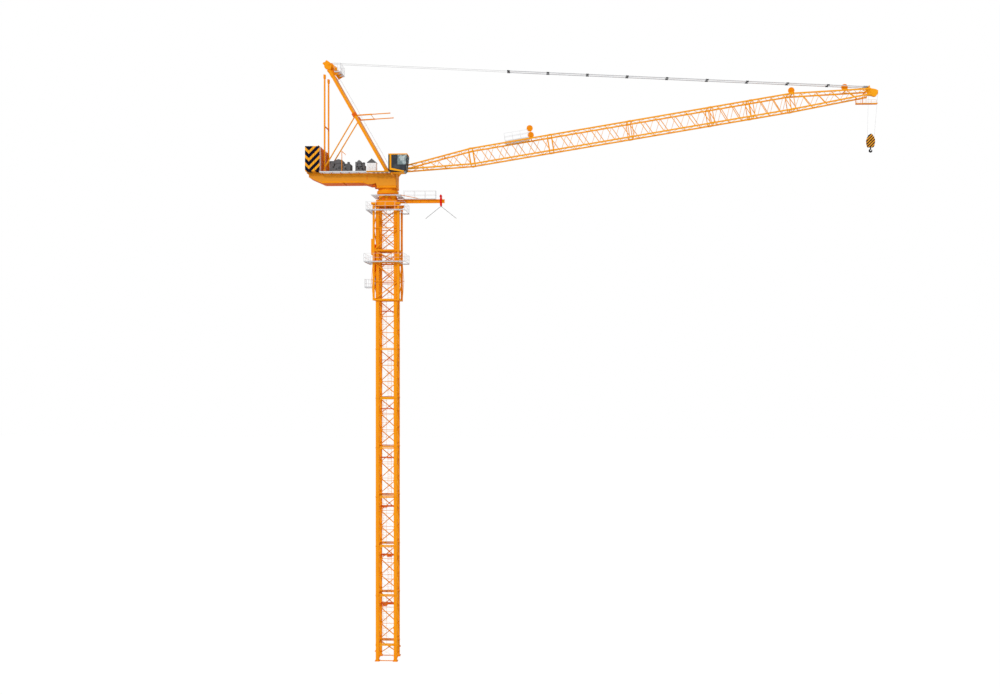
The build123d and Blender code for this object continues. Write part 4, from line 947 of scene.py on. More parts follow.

# Walkways beside the deck, with brackets, toe boards and dark grey dashes along their edge that are painted
# shade
walk_low, walk_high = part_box("deck_walkways")
walk_start = walk_low.x + 0.040
board_end, kick_end = -0.227, 0.052
arm = [(0, 0), (0.090, 0), (0.090, -0.003), (0.012, -0.016), (0, -0.016)]
walks, brackets, boards, kick, painted_shade_dashes = [], [], [], [], []
for way in both:
    y_low, y_high = sorted((way * half_deck, way * walk_high.y))
    walks += grating((walk_start, y_low), (walk_high.x, y_high), deck_top)
    for number in range(8):
        x = walk_start + 0.03 + number * 0.112
        place = axes((x + 0.0015 * way, way * half_deck, deck_top - 0.0042), (0, way, 0), (way, 0, 0))
        brackets.append(drawn([arm], 0.003, 0.0004, place))
    edge = way * (walk_high.y - 0.001)
    boards.append(member("flat", (walk_start, edge, deck_top + 0.001), (board_end, edge, deck_top + 0.001),
                         0.0015, 0.014))
    kick.append(member("flat", (board_end, edge, deck_top - 0.001), (kick_end, edge, deck_top - 0.001),
                       0.002, 0.017))
    # Dark grey dashes under the walkway edge: painted shade, the brackets and underside as they look in
    # shade
    for number in range(6):
        x = walk_start + 0.050 + number * 0.098
        painted_shade_dashes.append(member("flat", (x, edge - way * 0.002, deck_top - 0.001),
                             (x + 0.024, edge - way * 0.006, deck_top - 0.014), 0.003, 0.005))
    for number in range(4):
        x = -0.150 + number * 0.052
        painted_shade_dashes.append(member("flat", (x, edge, deck_top - 0.017), (x + 0.034, edge, deck_top - 0.017), 0.002,
                             0.012))
put("deck_walkway_floors", walks, "upperworks", zinc, "deck_walkways")
put("deck_walkway_brackets", brackets, "upperworks", girder)
put("deck_toe_boards", boards, "upperworks", zinc)
put("deck_kick_plates", kick, "upperworks", amber)
put("deck_edge_painted_shade_dashes", painted_shade_dashes, "upperworks", machine_grey)

# Counterweights: cast slabs with lifting eyes; on the front a plate, two ladders and stops
slab_count, slab_gap = 6, 0.003
pitch = (weight_high.x - weight_low.x + slab_gap) / slab_count
loop = [(-0.010, 0), (0.010, 0), (0.010, 0.007), (0.005, 0.012), (-0.005, 0.012), (-0.010, 0.007)]
eye_hole = [(u * 0.4, 0.0055 + v * 0.4) for u, v in ring(0.009, 10)][::-1]
slabs, eyes = [], []
for number in range(slab_count):
    x = weight_low.x + number * pitch
    slabs.append(block((x, weight_low.y, weight_low.z), (x + pitch - slab_gap, weight_high.y, weight_high.z),
                       0.0022))
    for y in (-0.13, 0.13):
        eyes.append(drawn([loop, eye_hole], 0.004, 0.0005,
                          axes((x + pitch / 2 - 0.0035, y, weight_high.z - 0.001), Y, X)))
put("counterweight_slabs", slabs, "upperworks", weight_bands, "counterweights")
put("counterweight_eyes", eyes, "upperworks", bare_steel)
front_low, front_high = deck_top + 0.014, weight_high.z - 0.006
face_x = weight_high.x + 0.0012
front_plate = block((weight_high.x, -0.215, front_low), (face_x, 0.215, front_high), 0.0004)
put("counterweight_front", [front_plate], "upperworks", flame)
climbs = []
for y in (-0.195, 0.085):
    climbs += ladder((face_x + 0.006, y, front_low), (face_x + 0.006, y, front_high), 0.040, Y, 0.016)
put("counterweight_ladders", climbs, "upperworks", zinc)
stop_x, stop_foot = weight_high.x + 0.004, deck_top + cradle_height
stops = [member("channel", (stop_x, y, stop_foot), (stop_x, y, weight_high.z), 0.009, 0.009)
         for y in (-0.150, -0.110, 0.010, 0.140, 0.205)]
stops.append(block((weight_high.x - 0.020, -0.212, weight_high.z),
                   (weight_high.x - 0.008, -0.200, weight_high.z + 0.010)))
put("counterweight_stops", stops, "upperworks", orange)

# A-frame: box legs, with cover plates at their ends and joints, and cross members
foot = Vector((0.016, 0.0, deck_top))
crown = Vector((-0.702, 0.0, 7.2025))
half_frame = 0.130
lean = crown - foot
leg_half = 0.0175 * hypot(lean.x, lean.z) / lean.z


def aside(y):
    return Vector((0, y, 0))


def leg_cover(share, y, width, depth):
    """A short box round a leg of the A-frame."""
    middle = foot + lean * share + aside(y)
    return member("box", middle - lean * 0.014, middle + lean * 0.014, width, depth)


a_frame = []
for y in (-half_frame, half_frame):
    outline = [(foot.x - leg_half, foot.z), (foot.x + leg_half, foot.z), (crown.x + leg_half, crown.z),
               (crown.x - leg_half, crown.z)]
    a_frame.append(upright_plate([outline], y - 0.014, y + 0.014, 0.002))
    a_frame += [leg_cover(share, y, 0.033, 0.042) for share in (0.02, 0.95)]
frame_bays = 9
for number in range(1, frame_bays):
    start, end = foot + lean * (number / frame_bays), foot + lean * ((number + 1) / frame_bays)
    size = 0.012 if number % 2 else 0.020
    a_frame.append(beam_over("box", start.x, start.z, half_frame, size, size))
    reach = 0.118 if number % 2 else -0.118
    if number < frame_bays - 1:
        a_frame.append(member("tube", start + aside(-reach), end + aside(reach), 0.009))
put("a_frame_steel", a_frame, "upperworks", orange, "a_frame_legs")
joints = [leg_cover(0.565, y, 0.036, 0.056) for y in (-half_frame, half_frame)]
put("a_frame_leg_joints", joints, "upperworks", flame)
front = Vector((lean.z, 0, -lean.x)).normalized()
ladder_foot = foot + front * 0.012
climb = ladder(ladder_foot + lean * 0.02, ladder_foot + lean * 0.93, 0.045, Y)
for y in (-0.045, 0.045):
    start = foot + front * 0.055 + lean * 0.03 + aside(y)
    climb.append(member("rod", start, start + lean * 0.88, 0.0022))
    for share in (0.0, 0.22, 0.44, 0.66, 0.88):
        spot = start + lean * share
        climb.append(member("rod", spot, spot - front * 0.045, 0.0020))
put("a_frame_ladder", climb, "upperworks", zinc)

# Rear ties: paired flat bars with forked ends, and a spreader between them
tie_x, tie_y, tie_low, tie_high = -0.760, 0.112, deck_top, 7.1505
ties = []


def tie_bar(y, half_x, half_y, low, high, chamfer=0.0008):
    ties.append(block((tie_x - half_x, y - half_y, low), (tie_x + half_x, y + half_y, high), chamfer))


for y in (-tie_y, tie_y):
    for way in both:
        tie_bar(y + way * 0.006, 0.009, 0.002, tie_low + 0.03, tie_high - 0.03)
    tie_bar(y, 0.0075, 0.004, tie_low + 0.03, tie_high - 0.03)
    for low in (tie_low, tie_high - 0.05):
        for way in both:
            tie_bar(y + way * 0.0105, 0.013, 0.0022, low, low + 0.05, 0.001)
        ties.append(pin((tie_x, y, low + 0.025), 0.007, 0.016, 20))
put("rear_tie_bars", ties, "upperworks", orange, "rear_ties")
put("rear_tie_spreader", [beam_over("box", tie_x, 6.522, tie_y, 0.012)], "upperworks", flame)

# Head of the A-frame: two small plates with their axle, boss rings, brackets and sheaves
head_x, head_z = -0.700, 7.2765
crown_plate = [(-0.780, 7.278), (-0.776, 7.292), (-0.750, 7.300), (-0.738, 7.320), (-0.724, 7.318),
               (-0.686, 7.290), (-0.668, 7.250), (-0.682, 7.208), (-0.742, 7.212), (-0.758, 7.232),
               (-0.762, 7.262)]
crown_bracket = [(-0.700, 7.268), (-0.655, 7.272), (-0.605, 7.236), (-0.605, 7.212), (-0.628, 7.204),
                 (-0.656, 7.238), (-0.700, 7.240)]
crown_boss = [(0.0, 0), (0.020, 0), (0.020, 0.004), (0.012, 0.006), (0.012, 0.009), (0, 0.009)]
crown_parts = [beam_over("tube", head_x, head_z, 0.138, 0.0236),
               beam_over("box", -0.690, 7.255, 0.125, 0.012),
               beam_over("box", head_x - 0.020, head_z - 0.080, 0.128, 0.014)]
for way in both:
    crown_parts += [upright_plate([crown_plate], *sorted((way * 0.122, way * 0.138)), 0.001),
                    upright_plate([crown_bracket], *sorted((way * 0.096, way * 0.108)), 0.001),
                    spun(crown_boss, (head_x, way * 0.1375, head_z), 32, way)]
put("a_frame_crown", crown_parts, "upperworks", orange, "a_frame_head")


def grooved_wheel(centre, radius, width, bore, groove):
    """A rope sheave: a spun rim and hub, and a web between them with six ribs."""
    half, rim, hub, ribs = width / 2, radius * 0.80, bore * 2.2, 6
    face = [(bore, -half), (hub, -half), (hub + 0.001, -half * 0.45), (rim, -half * 0.45),
            (rim + 0.001, -half), (radius, -half), (radius - groove * 0.3, -half * 0.65),
            (radius - groove, -half * 0.2)]
    parts = [spun(face + [(r, -h) for r, h in face[::-1]] + face[:1], centre, 44)]
    for n in range(ribs):
        turn = 2 * pi * n / ribs
        spot = Vector((cos(turn), 0, sin(turn)))
        parts.append(member("flat", Vector(centre) + spot * (hub + 0.001), Vector(centre) + spot * rim,
                            width * 0.9, 0.0022))
    return parts


sheave_y = 0.030
wheels = []
for y in (-sheave_y, sheave_y):
    wheels += grooved_wheel((head_x, y, head_z), 0.036, 0.014, 0.0121, 0.006)
put("a_frame_rope_sheaves", wheels, "a_frame_sheaves", orange, "a_frame_sheaves")

# Braces and back-stop arms of the A-frame
brace_foot, brace_top = (-0.757, 6.020), (-0.388, 6.630)
stays = []
for way in both:
    start, end = [(x, way * y, z) for (x, z), y in ((brace_foot, 0.112), (brace_top, 0.122))]
    stays.append(member("tube", start, end, 0.0155))
    stays.append(member("flat", start, between(start, end, 0.05), 0.020, 0.006))
    stays.append(member("flat", between(start, end, 0.96), end, 0.020, 0.006))
put("a_frame_brace_tubes", stays, "upperworks", amber, "a_frame_braces")
stop_low, stop_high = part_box("back_stops")
sleeve_share = 0.42
arms, sleeve_ends = [], []
for y in (-half_frame, half_frame):
    start, end = (stop_low.x + 0.004, y, stop_low.z + 0.007), (stop_high.x, y, stop_high.z - 0.007)
    for kind, first, last, width in (("tube", 0, sleeve_share, 0.0165), ("tube", 0.40, 1, 0.0120),
                                     ("tube", 0.97, 1, 0.0138), ("box", 0.40, 0.44, 0.015)):
        arms.append(member(kind, between(start, end, first), between(start, end, last), width))
    sleeve_ends.append(between((stop_low.x, *start[1:]), end, sleeve_share))
arms.append(member("tube", *sleeve_ends, 0.007, across=Z))
put("back_stop_arms", arms, "upperworks", orange, "back_stops")

# Small platform before the head of the A-frame, a little higher than packed
lift = Vector((-0.012, 0, 0.060))
low, high = [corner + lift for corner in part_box("head_platform")]
floor = low.z + platform_rise
parts = grating((low.x, low.y), (high.x, high.y), floor)
line = [(low.x + 0.004, low.y + 0.003), (high.x - 0.003, low.y + 0.003), (high.x - 0.003, high.y - 0.003),
        (low.x + 0.004, high.y - 0.003)]
parts += railing(line, floor, 0.105, 0.05, 0.006)
put("head_platform_floor", parts, "upperworks", zinc, "head_platform")
knee = [(low.x - 0.010, low.z - 0.0005), (high.x - 0.01, low.z - 0.0005), (low.x + 0.012, low.z - 0.040)]
brackets = [upright_plate([knee], y - 0.005, y + 0.005) for y in (-0.10, 0.0, 0.10)]
brackets.append(member("box", (low.x + 0.004, low.y, low.z - 0.004),
                       (low.x + 0.004, high.y, low.z - 0.004), 0.007, across=Z))
put("head_platform_brackets", brackets, "upperworks", orange)


def winch_machine(name, drum_radius):
    """A winch: skid, bearing plates, a wound drum, a gear case, a finned motor and a hood."""
    low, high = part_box(name)
    x = (low.x + high.x) / 2
    length = high.x - low.x
    half = (high.y - low.y) / 2
    skid = 0.014
    rail_z, bed = deck_top + skid / 2, deck_top + skid
    drum_z = bed + 0.054
    parts = []
    for y in (-half + 0.006, half - 0.006):
        parts.append(member("channel", (low.x, y, rail_z), (high.x, y, rail_z), 0.012, skid))
    for share in (0.06, 0.5, 0.94):
        parts.append(beam_over("channel", low.x + length * share, rail_z, half, 0.012, skid * 0.9, X))
    reach = length / 3
    bearing = [(x - reach, bed), (x + reach, bed), (x + reach * 0.55, drum_z + 0.052),
               (x - reach * 0.55, drum_z + 0.052)]
    cap = [(0.006, 0), (0.024, 0), (0.024, 0.004), (0.016, 0.006), (0.006, 0.006)]
    for way in both:
        y_low, y_high = sorted((way * half, way * (half - 0.010)))
        parts.append(upright_plate([bearing, hole(x, drum_z, 0.018, 20)], y_low, y_high, 0.001))
        parts.append(spun(cap, (x, way * (half - 0.010), drum_z), 24, -way))
    case_x = x - length * 0.36
    parts.append(block((case_x - length * 0.10, -half + 0.014, bed),
                       (case_x + length * 0.10, -half + 0.075, high.z - 0.022), 0.004))
    motor = (case_x, half - 0.016, bed + 0.030)
    parts.append(spun([(0, 0), (0.018, 0), (0.022, 0.004), (0.022, 0.078), (0.026, 0.080), (0.026, 0.088),
                       (0, 0.088)], motor, 28, -1))
    for n in range(9):
        rise = 0.010 + n * 0.007
        fin = [(0.021, rise), (0.025, rise + 0.0008), (0.025, rise + 0.0018), (0.021, rise + 0.0026)]
        parts.append(spun(fin, motor, 28, -1))
    right_x, tank_top = x + length * 0.34, bed + (high.z - deck_top) * 0.62
    parts.append(block((right_x - length * 0.11, -half + 0.020, bed),
                       (right_x + length * 0.11, half - 0.020, tank_top), 0.003))
    parts.append(turned([(0, 0), (0.014, 0), (0.016, 0.003), (0.016, 0.026), (0.006, 0.030), (0, 0.030)],
                        axes((right_x, -0.02, tank_top), X, Z), 24))
    hood = [(x - length * 0.30, drum_z + 0.056), (x + length * 0.16, drum_z + 0.056),
            (x + length * 0.10, high.z - 0.012), (x - length * 0.07, high.z),
            (x - length * 0.24, high.z - 0.012)]
    parts.append(upright_plate([hood], -half + 0.012, half - 0.012, 0.002))
    put(name + "_machine", parts, "upperworks", machine_grey, name)
    covers = []
    for number in range(7):
        left = low.x + length * (0.06 + 0.13 * number)
        level = deck_top + 0.024 + 0.026 * (number * 2 % 3)
        covers.append(block((left, -half - 0.0010, level), (left + 0.019, -half + 0.0020, level + 0.013),
                            0.0006))
    put(name + "_covers", covers, "upperworks", black)
    width, wraps, core, crest = half - 0.026, 22, drum_radius * 0.84, drum_radius * 0.88
    step = (2 * width - 0.010) / wraps
    outline = [(0, -width), (drum_radius, -width), (drum_radius, -width + 0.004), (core, -width + 0.005)]
    for n in range(wraps):
        start = -width + 0.005 + n * step
        outline += [(core, start + step * 0.1), (crest, start + step * 0.5), (core, start + step * 0.95)]
    outline += [(core, width - 0.005), (drum_radius, width - 0.004), (drum_radius, width), (0, width)]
    put(name + "_drum", [spun(outline, (x, 0, drum_z), 36)], "upperworks", wire)


winch_machine("hoisting_winch", 0.048)
winch_machine("luffing_winch", 0.042)

# Electrical cabinet: a white box with doors under a grey gable roof
low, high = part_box("electrical_cabinet")
wall_top = deck_top + 0.130
cabinet = [block((low.x + 0.002, low.y + 0.002, deck_top), (high.x - 0.002, high.y - 0.002, wall_top),
                 0.002)]
doors = [low.x + 0.006 + number * 0.036 for number in range(3)]
for x in doors:
    for y in (low.y + 0.0005, high.y - 0.002):
        cabinet.append(block((x, y, deck_top + 0.012), (x + 0.032, y + 0.0015, wall_top - 0.010), 0.0005))
put("cabinet_walls", cabinet, "upperworks", cabinet_white, "electrical_cabinet")
peak_x = (low.x + high.x) / 2
gable = [(low.x, wall_top), (high.x, wall_top), (high.x, wall_top + 0.006), (peak_x, high.z),
         (low.x, wall_top + 0.006)]
roof = [upright_plate([gable], low.y, high.y, 0.001),
        member("tube", (peak_x, low.y, high.z - 0.002), (peak_x, high.y, high.z - 0.002), 0.005)]
put("cabinet_roof", roof, "upperworks", machine_grey)
hinges = []
for x in doors:
    for z in (deck_top + 0.03, deck_top + 0.10):
        hinges.append(member("tube", (x + 0.001, low.y, z), (x + 0.001, low.y, z + 0.010), 0.003))
    hinges.append(block((x + 0.026, low.y - 0.0012, deck_top + 0.062),
                        (x + 0.029, low.y + 0.001, deck_top + 0.078), 0.0004))
put("cabinet_fittings", hinges, "upperworks", zinc)

# Davit: a round post with a short arm and a hook on it
low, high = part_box("davit")
x, y = low.x + 0.0045, (low.y + high.y) / 2
davit = [member("tube", (x, y, deck_top), (x, y, high.z), 0.0088),
         member("tube", (x, y, high.z - 0.006), (x + 0.045, y, high.z - 0.045), 0.0085),
         block((x - 0.010, y - 0.010, deck_top), (x + 0.010, y + 0.010, deck_top + 0.004)),
         member("rod", (x + 0.043, y, high.z - 0.045), (x + 0.043, y, high.z - 0.062), 0.002)]
put("davit_post", davit, "upperworks", orange, "davit")

# Cab: an orange frame, black trim round the panes, and a seat with consoles inside
cab_low, cab_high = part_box("cab_body")
near, far, back, nose = cab_low.y, cab_high.y, cab_low.x, cab_high.x
sill, top = cab_low.z, cab_high.z
cab_y = (near + far) / 2
chin, brow, knee = (nose - 0.023, sill + 0.022), (nose - 0.001, top - 0.022), (nose - 0.045, sill + 0.002)
frame_shape = [(back + 0.016, sill + 0.028), (nose - 0.048, sill + 0.001), (nose - 0.034, sill + 0.014),
               (back + 0.036, sill + 0.050), (back + 0.036, top - 0.013), (nose, top - 0.013), (nose, top),
               (back, top), (back, top - 0.013), (back + 0.016, top - 0.013)]
shell = [upright_plate([frame_shape], y, y + 0.005, 0.001) for y in (near, far - 0.005)]
shell.append(block((back + 0.004, near + 0.004, top - 0.008), (nose - 0.002, far - 0.004, top), 0.001))
shell.append(block((back + 0.024, near + 0.004, sill + 0.0002), (nose - 0.044, far - 0.004, sill + 0.008),
                   0.001))
put("cab_shell", shell, "upperworks", amber, "cab_body")
corner_shape = [(back, sill + 0.022), (back + 0.022, sill), (nose - 0.050, sill),
                (back + 0.016, sill + 0.027)]
trims = [block((back, near + 0.001, sill + 0.022), (back + 0.0155, far - 0.001, top - 0.013), 0.001)]
trims += [upright_plate([corner_shape], y, y + 0.004, 0.0005) for y in (near + 0.0008, far - 0.0048)]
for y in (near + 0.004, cab_y, far - 0.004):
    for start, end, width in ((chin, brow, 0.010), (knee, chin, 0.008)):
        trims.append(member("box", (start[0], y, start[1]), (end[0], y, end[1]), 0.007, width))
for x, z in (chin, (nose - 0.0135, sill + 0.100), (nose - 0.002, top - 0.024)):
    trims.append(member("box", (x, near + 0.003, z), (x, far - 0.003, z), 0.007, 0.005, Z))
put("cab_trim", trims, "upperworks", black)
# The upper front part of each side window and the windscreen panes are pale: a painted reflection; the rest
# of the side glass is dark
split_x, painted_reflection_low, pane_top = back + 0.112, sill + 0.090, top - 0.011
dark_pane = [(back + 0.034, sill + 0.048), (nose - 0.034, sill + 0.012), (nose - 0.020, sill + 0.040),
             (nose - 0.014, painted_reflection_low), (split_x, painted_reflection_low), (split_x, pane_top), (back + 0.034, pane_top)]
painted_reflection_pane = [(split_x, painted_reflection_low), (nose - 0.014, painted_reflection_low), (nose - 0.006, pane_top), (split_x, pane_top)]
panes, painted_reflection_panes = [[upright_plate([pane], y, y + 0.002, 0.0) for y in (near + 0.0015, far - 0.0035)]
                     for pane in (dark_pane, painted_reflection_pane)]
put("cab_side_glass", panes, "upperworks", dark_glass, "cab_glass")
for (x, z), (u, t) in ((chin, brow), (knee, chin)):
    painted_reflection_panes.append(member("flat", (x - 0.001, cab_y, z), (u - 0.001, cab_y, t), far - near - 0.008,
                             0.0018))
put("cab_front_glass", painted_reflection_panes, "upperworks", painted_reflection_glass)
seat = [block((back + 0.070, cab_y - 0.028, sill + 0.008), (back + 0.118, cab_y + 0.028, sill + 0.050),
              0.006),
        block((back + 0.062, cab_y - 0.026, sill + 0.046), (back + 0.076, cab_y + 0.026, sill + 0.140),
              0.005)]
for way in both:
    y = cab_y + way * 0.044
    seat.append(block((back + 0.085, y - 0.010, sill + 0.008), (back + 0.145, y + 0.010, sill + 0.066),
                      0.004))
    seat.append(member("tube", (back + 0.13, y, sill + 0.066), (back + 0.135, y, sill + 0.086), 0.004))
seat.append(member("rod", (chin[0] + 0.010, cab_y + 0.02, sill + 0.066),
                   (chin[0] + 0.018, cab_y + 0.05, sill + 0.130), 0.002))
put("cab_seat", seat, "upperworks", black)

# Ladder at the nose of the deck
rung_x, rung_y = 0.141, -0.07
nose_ladder = ladder((rung_x, rung_y, 5.7435), (rung_x, rung_y, deck_top - 0.01), 0.040, Y, 0.018)
for level in (5.80, 5.87, 5.93):
    for y in (rung_y - 0.018, rung_y + 0.018):
        nose_ladder.append(member("flat", (deck_nose, y, level), (rung_x, y, level), 0.003, 0.0015))
put("nose_ladder", nose_ladder, "upperworks", amber)

# Jib, laid out in its own frame: along the jib, across it and square to it
jib_turn = radians(9.2)
along_jib = Vector((cos(jib_turn), 0, sin(jib_turn)))
up_jib = Vector((-sin(jib_turn), 0, cos(jib_turn)))
half_depth, heel_depth = 0.094, 0.013
chord, frame_tube, lace, thin_lace = 0.017, 0.010, 0.00918, 0.0050
tip_top, tip_bottom = -0.010, -0.070
stations = [0.012, 0.886, 1.861, 2.836, 3.811, 4.2985, 4.786, 5.720]
bays = [4, 5, 5, 5, 3, 3, 5]
full = (-half_depth, half_depth)
heights = [((-heel_depth, heel_depth), full), *[(full, full)] * 5, (full, (tip_bottom, tip_top))]
jib_sections = ["jib_section_1", "jib_section_2", "jib_section_3", "jib_short_section_1",
                "jib_short_section_2"]


def on_jib(s, y, t):
    return heel + along_jib * s + up_jib * t + aside(y)


def jib_steel(index):
    """Chords, end frames and tube lacing of one section; the heel has no frame at its foot."""
    start, run = stations[index], stations[index + 1] - stations[index]
    (low_a, high_a), (low_b, high_b) = heights[index]
    levels = {"low": (low_a, low_b), "high": (high_a, high_b)}

    def spot(which, side, share):
        a, b = levels[which]
        return on_jib(start + run * share, side * half_jib, a + (b - a) * share)

    trim = 0.0002 / run
    parts = [member("box", spot(which, side, trim), spot(which, side, 1 - trim), chord)
             for side in both for which in levels]
    inset = chord * 1.5 / run
    for share in ((inset, 1 - inset) if index else (1 - inset,)):
        for which in levels:
            parts.append(member("tube", spot(which, -1, share), spot(which, 1, share), frame_tube,
                                across=up_jib))
        for side in both:
            parts.append(member("tube", spot("low", side, share), spot("high", side, share), frame_tube))
    stops = 2 * bays[index]
    inner = chord / run
    shares = [inner + (1 - 2 * inner) * n / stops for n in range(stops + 1)]
    for n, (a, b) in enumerate(zip(shares, shares[1:])):
        for side in both:
            rising = n % 2 == (0 if side < 0 else 1)
            one, other = ("low", "high") if rising else ("high", "low")
            width = thin_lace if rising else lace
            parts.append(member("tube", spot(one, side, a), spot(other, side, b), width))
        way = -1 if n % 2 else 1
        for which in levels:
            parts.append(member("tube", spot(which, -way, a), spot(which, way, b), thin_lace, across=up_jib))
    for side in both:
        for which in levels:
            for way, share in ((1, 2 * trim), (-1, 1 - 2 * trim))[0 if index else 1:]:
                middle = spot(which, side, share)
                parts.append(member("box", middle, middle + along_jib * way * 0.016, chord * 1.28))
    return parts


heel_parts = jib_steel(0)
heel_eye = [(0.0062, -0.008), (0.0155, -0.008), (0.016, -0.007), (0.016, 0.007), (0.0155, 0.008),
            (0.0062, 0.008), (0.0062, -0.008)]
heel_parts += [spun(heel_eye, (heel.x, y, heel.z), 32) for y in (-half_jib, half_jib)]
for share in (0.30, 0.62):
    for way in both:
        t = way * (heel_depth + (half_depth - heel_depth) * share)
        s = stations[0] + (stations[1] - stations[0]) * share
        heel_parts.append(member("tube", on_jib(s, -half_jib, t), on_jib(s, half_jib, t), frame_tube,
                                 across=up_jib))
put("jib_heel_lattice", heel_parts, "jib", amber, "jib_heel")
for number, node in enumerate(jib_sections):
    put(node + "_lattice", jib_steel(number + 1), "jib", amber, node)

# Head of the jib: inner cheeks and outer plates of the tip wheel, and the eyes of the pendants
wheel_s, wheel_t = 5.789, -0.045
eye_s, eye_t = 5.723, 0.027
jib_end = stations[-1]
pendant_y = 0.036


def jib_plate(outline, y_low, y_high, *holes):
    """A plate drawn along and square to the jib."""
    place = axes(heel + aside(y_high), along_jib, (0, -1, 0))
    return drawn([outline, *holes], y_high - y_low, 0.0006, place)


cheek = [(jib_end - 0.017, tip_bottom), (jib_end + 0.017, tip_bottom - 0.0085),
         (wheel_s + 0.008, wheel_t - 0.014), (wheel_s + 0.014, wheel_t), (wheel_s + 0.008, wheel_t + 0.014),
         (jib_end + 0.017, tip_top + 0.017), (jib_end - 0.017, tip_top)]
head_plate = [(jib_end - 0.030, tip_top + 0.006), (jib_end + 0.018, tip_top + 0.024),
              *[(wheel_s + u, wheel_t + v) for u, v in ((0.004, 0.040), (0.022, 0.030), (0.044, 0.012),
                                                        (0.030, -0.014), (0.008, -0.050), (-0.014, -0.050))],
              (jib_end - 0.004, tip_bottom + 0.004)]
eye_plate = [(jib_end - 0.017, tip_top), (jib_end, tip_top), (eye_s + 0.010, eye_t + 0.004),
             (eye_s + 0.006, eye_t + 0.011), (eye_s - 0.006, eye_t + 0.011), (eye_s - 0.010, eye_t + 0.004)]
cheek_hole = hole(jib_end + 0.012, -0.040, 0.012, 18)
wheel_boss = [(0, 0), (0.009, 0), (0.009, 0.003), (0.005, 0.004), (0, 0.004)]
tip_parts = jib_steel(6)
for way in both:
    tip_parts += [jib_plate(cheek, *sorted((way * 0.006, way * 0.014)), cheek_hole),
                  jib_plate(head_plate, *sorted((way * 0.0145, way * 0.0175))),
                  spun(wheel_boss, on_jib(wheel_s, way * 0.014, wheel_t), 20, way)]
tip_parts.append(pin(on_jib(wheel_s, 0, wheel_t), 0.004, 0.014, 20))
for middle in (-pendant_y, pendant_y):
    for y in (middle - 0.0125, middle + 0.0125):
        tip_parts.append(jib_plate(eye_plate, y - 0.003, y + 0.003))
    tip_parts.append(pin(on_jib(eye_s, middle, eye_t), 0.006, 0.019, 24))
put("jib_tip_lattice", tip_parts, "jib", amber, "jib_tip")

# Guide sheaves and their stands
guides = ((1.640, (("low_guide_sheave", 0.151), ("high_guide_sheave", 0.234))),
          (4.820, (("mid_guide_sheave", 0.148),)), (5.450, (("outer_guide_sheave", 0.078),)))


def jib_wheel(node, s, t, radius):
    put(node + "_rim", grooved_wheel(on_jib(s, 0, t), radius, 0.010, 0.0041, 0.0045), node, orange, node)


jib_wheel("tip_wheel", wheel_s, wheel_t, 0.042)
for s, held in guides:
    for node, t in held:
        jib_wheel(node, s, t, 0.038)


def top_chord(s):
    share = max(0.0, (s - stations[-2]) / (stations[-1] - stations[-2]))
    return half_depth + (tip_top - half_depth) * share + chord / 2


stand_boss = [(0, 0), (0.006, 0), (0.006, 0.002), (0, 0.0025)]
stands = []
for s, held in guides:
    foot_t = top_chord(s - 0.006) + 0.0003
    head_t = held[-1][1] + 0.008
    rail_t = foot_t + 0.0025
    stands.append(member("channel", on_jib(s, -half_jib, rail_t), on_jib(s, half_jib, rail_t), 0.012, 0.005,
                         along_jib))
    stand = [(s - 0.006, foot_t), (s + 0.006, foot_t), (s + 0.005, head_t - 0.003), (s + 0.002, head_t),
             (s - 0.002, head_t), (s - 0.005, head_t - 0.003)]
    for way in both:
        y = way * 0.0075
        stands.append(jib_plate(stand, y - 0.0015, y + 0.0015))
        stands += [spun(stand_boss, on_jib(s, way * 0.009, t), 18, way) for node, t in held]
    stands += [pin(on_jib(s, 0, t), 0.004, 0.009, 18) for node, t in held]
put("guide_sheave_stands", stands, "jib", orange, "guide_sheave_posts")

# Walkway on the jib, with its railing
walk_t = half_depth + chord / 2 + 0.0043
walk_from, walk_to = 1.318, 1.614
walk = grating((walk_from, -half_jib), (walk_to, half_jib), 0.0)
for y in (-half_jib + 0.002, half_jib - 0.002):
    walk += railing([(walk_from + 0.002, y), (walk_to - 0.002, y)], 0.0, 0.100, 0.100, 0.006)
walkway = joined("jib_walkway_floor", walk)
walkway.data.transform(axes(on_jib(0, 0, walk_t), along_jib, up_jib))
put("jib_walkway_floor", [walkway], "jib", zinc, "jib_walkway")

# Platform that hangs under the tip, a strip on the far side
low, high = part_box("tip_platform")
floor = low.z + platform_rise
tip_floor = grating((low.x, 0.030), (high.x, high.y), floor)
put("tip_platform_floor", tip_floor, "jib", amber, "tip_platform")
tip_start = on_jib(stations[-2], 0, 0).x
tip_run = stations[-1] - stations[-2]
hangers = []
for x in (5.683, on_jib(jib_end, 0, tip_bottom).x - 0.051):
    share = (x - tip_start) / (tip_run * along_jib.x)
    chord_z = on_jib(stations[-2] + share * tip_run, 0, -half_depth + (tip_bottom + half_depth) * share).z
    hangers.append(member("box", (x, 0.0832, floor - 0.004), (x, 0.0832, chord_z + 0.017), 0.006))
hangers.append(member("channel", (low.x, 0.080, floor - 0.006), (high.x, 0.080, floor - 0.006), 0.006,
                      0.006))
put("tip_platform_hangers", hangers, "jib", orange)
line = [(low.x + 0.003, 0.032), (low.x + 0.003, 0.084), (high.x - 0.003, 0.084)]
put("tip_platform_rails", railing(line, floor, 0.052, 0.06, 0.008), "jib", amber)

# Pendants: paired bars joined by black link plates, and the floating block
eye = on_jib(eye_s, 0, eye_t)
crown_point = Vector((head_x, 0, head_z + 0.036))
pendant_length = 4.328
lengths = 9
pull = (crown_point - eye).normalized()
block_end = eye + pull * pendant_length
link_width = 0.0150
first_links = ((0.016, 0.036), (0.040, 0.062))
knot_links = ((-0.0173, -0.0017), (0.0017, 0.0173))
bars, clips = [], []


def on_bar(kind, middle, first, last, width, depth=None):
    """A member on the line of a pendant, between two distances from a point of it."""
    return member(kind, middle + pull * first, middle + pull * last, width, depth)


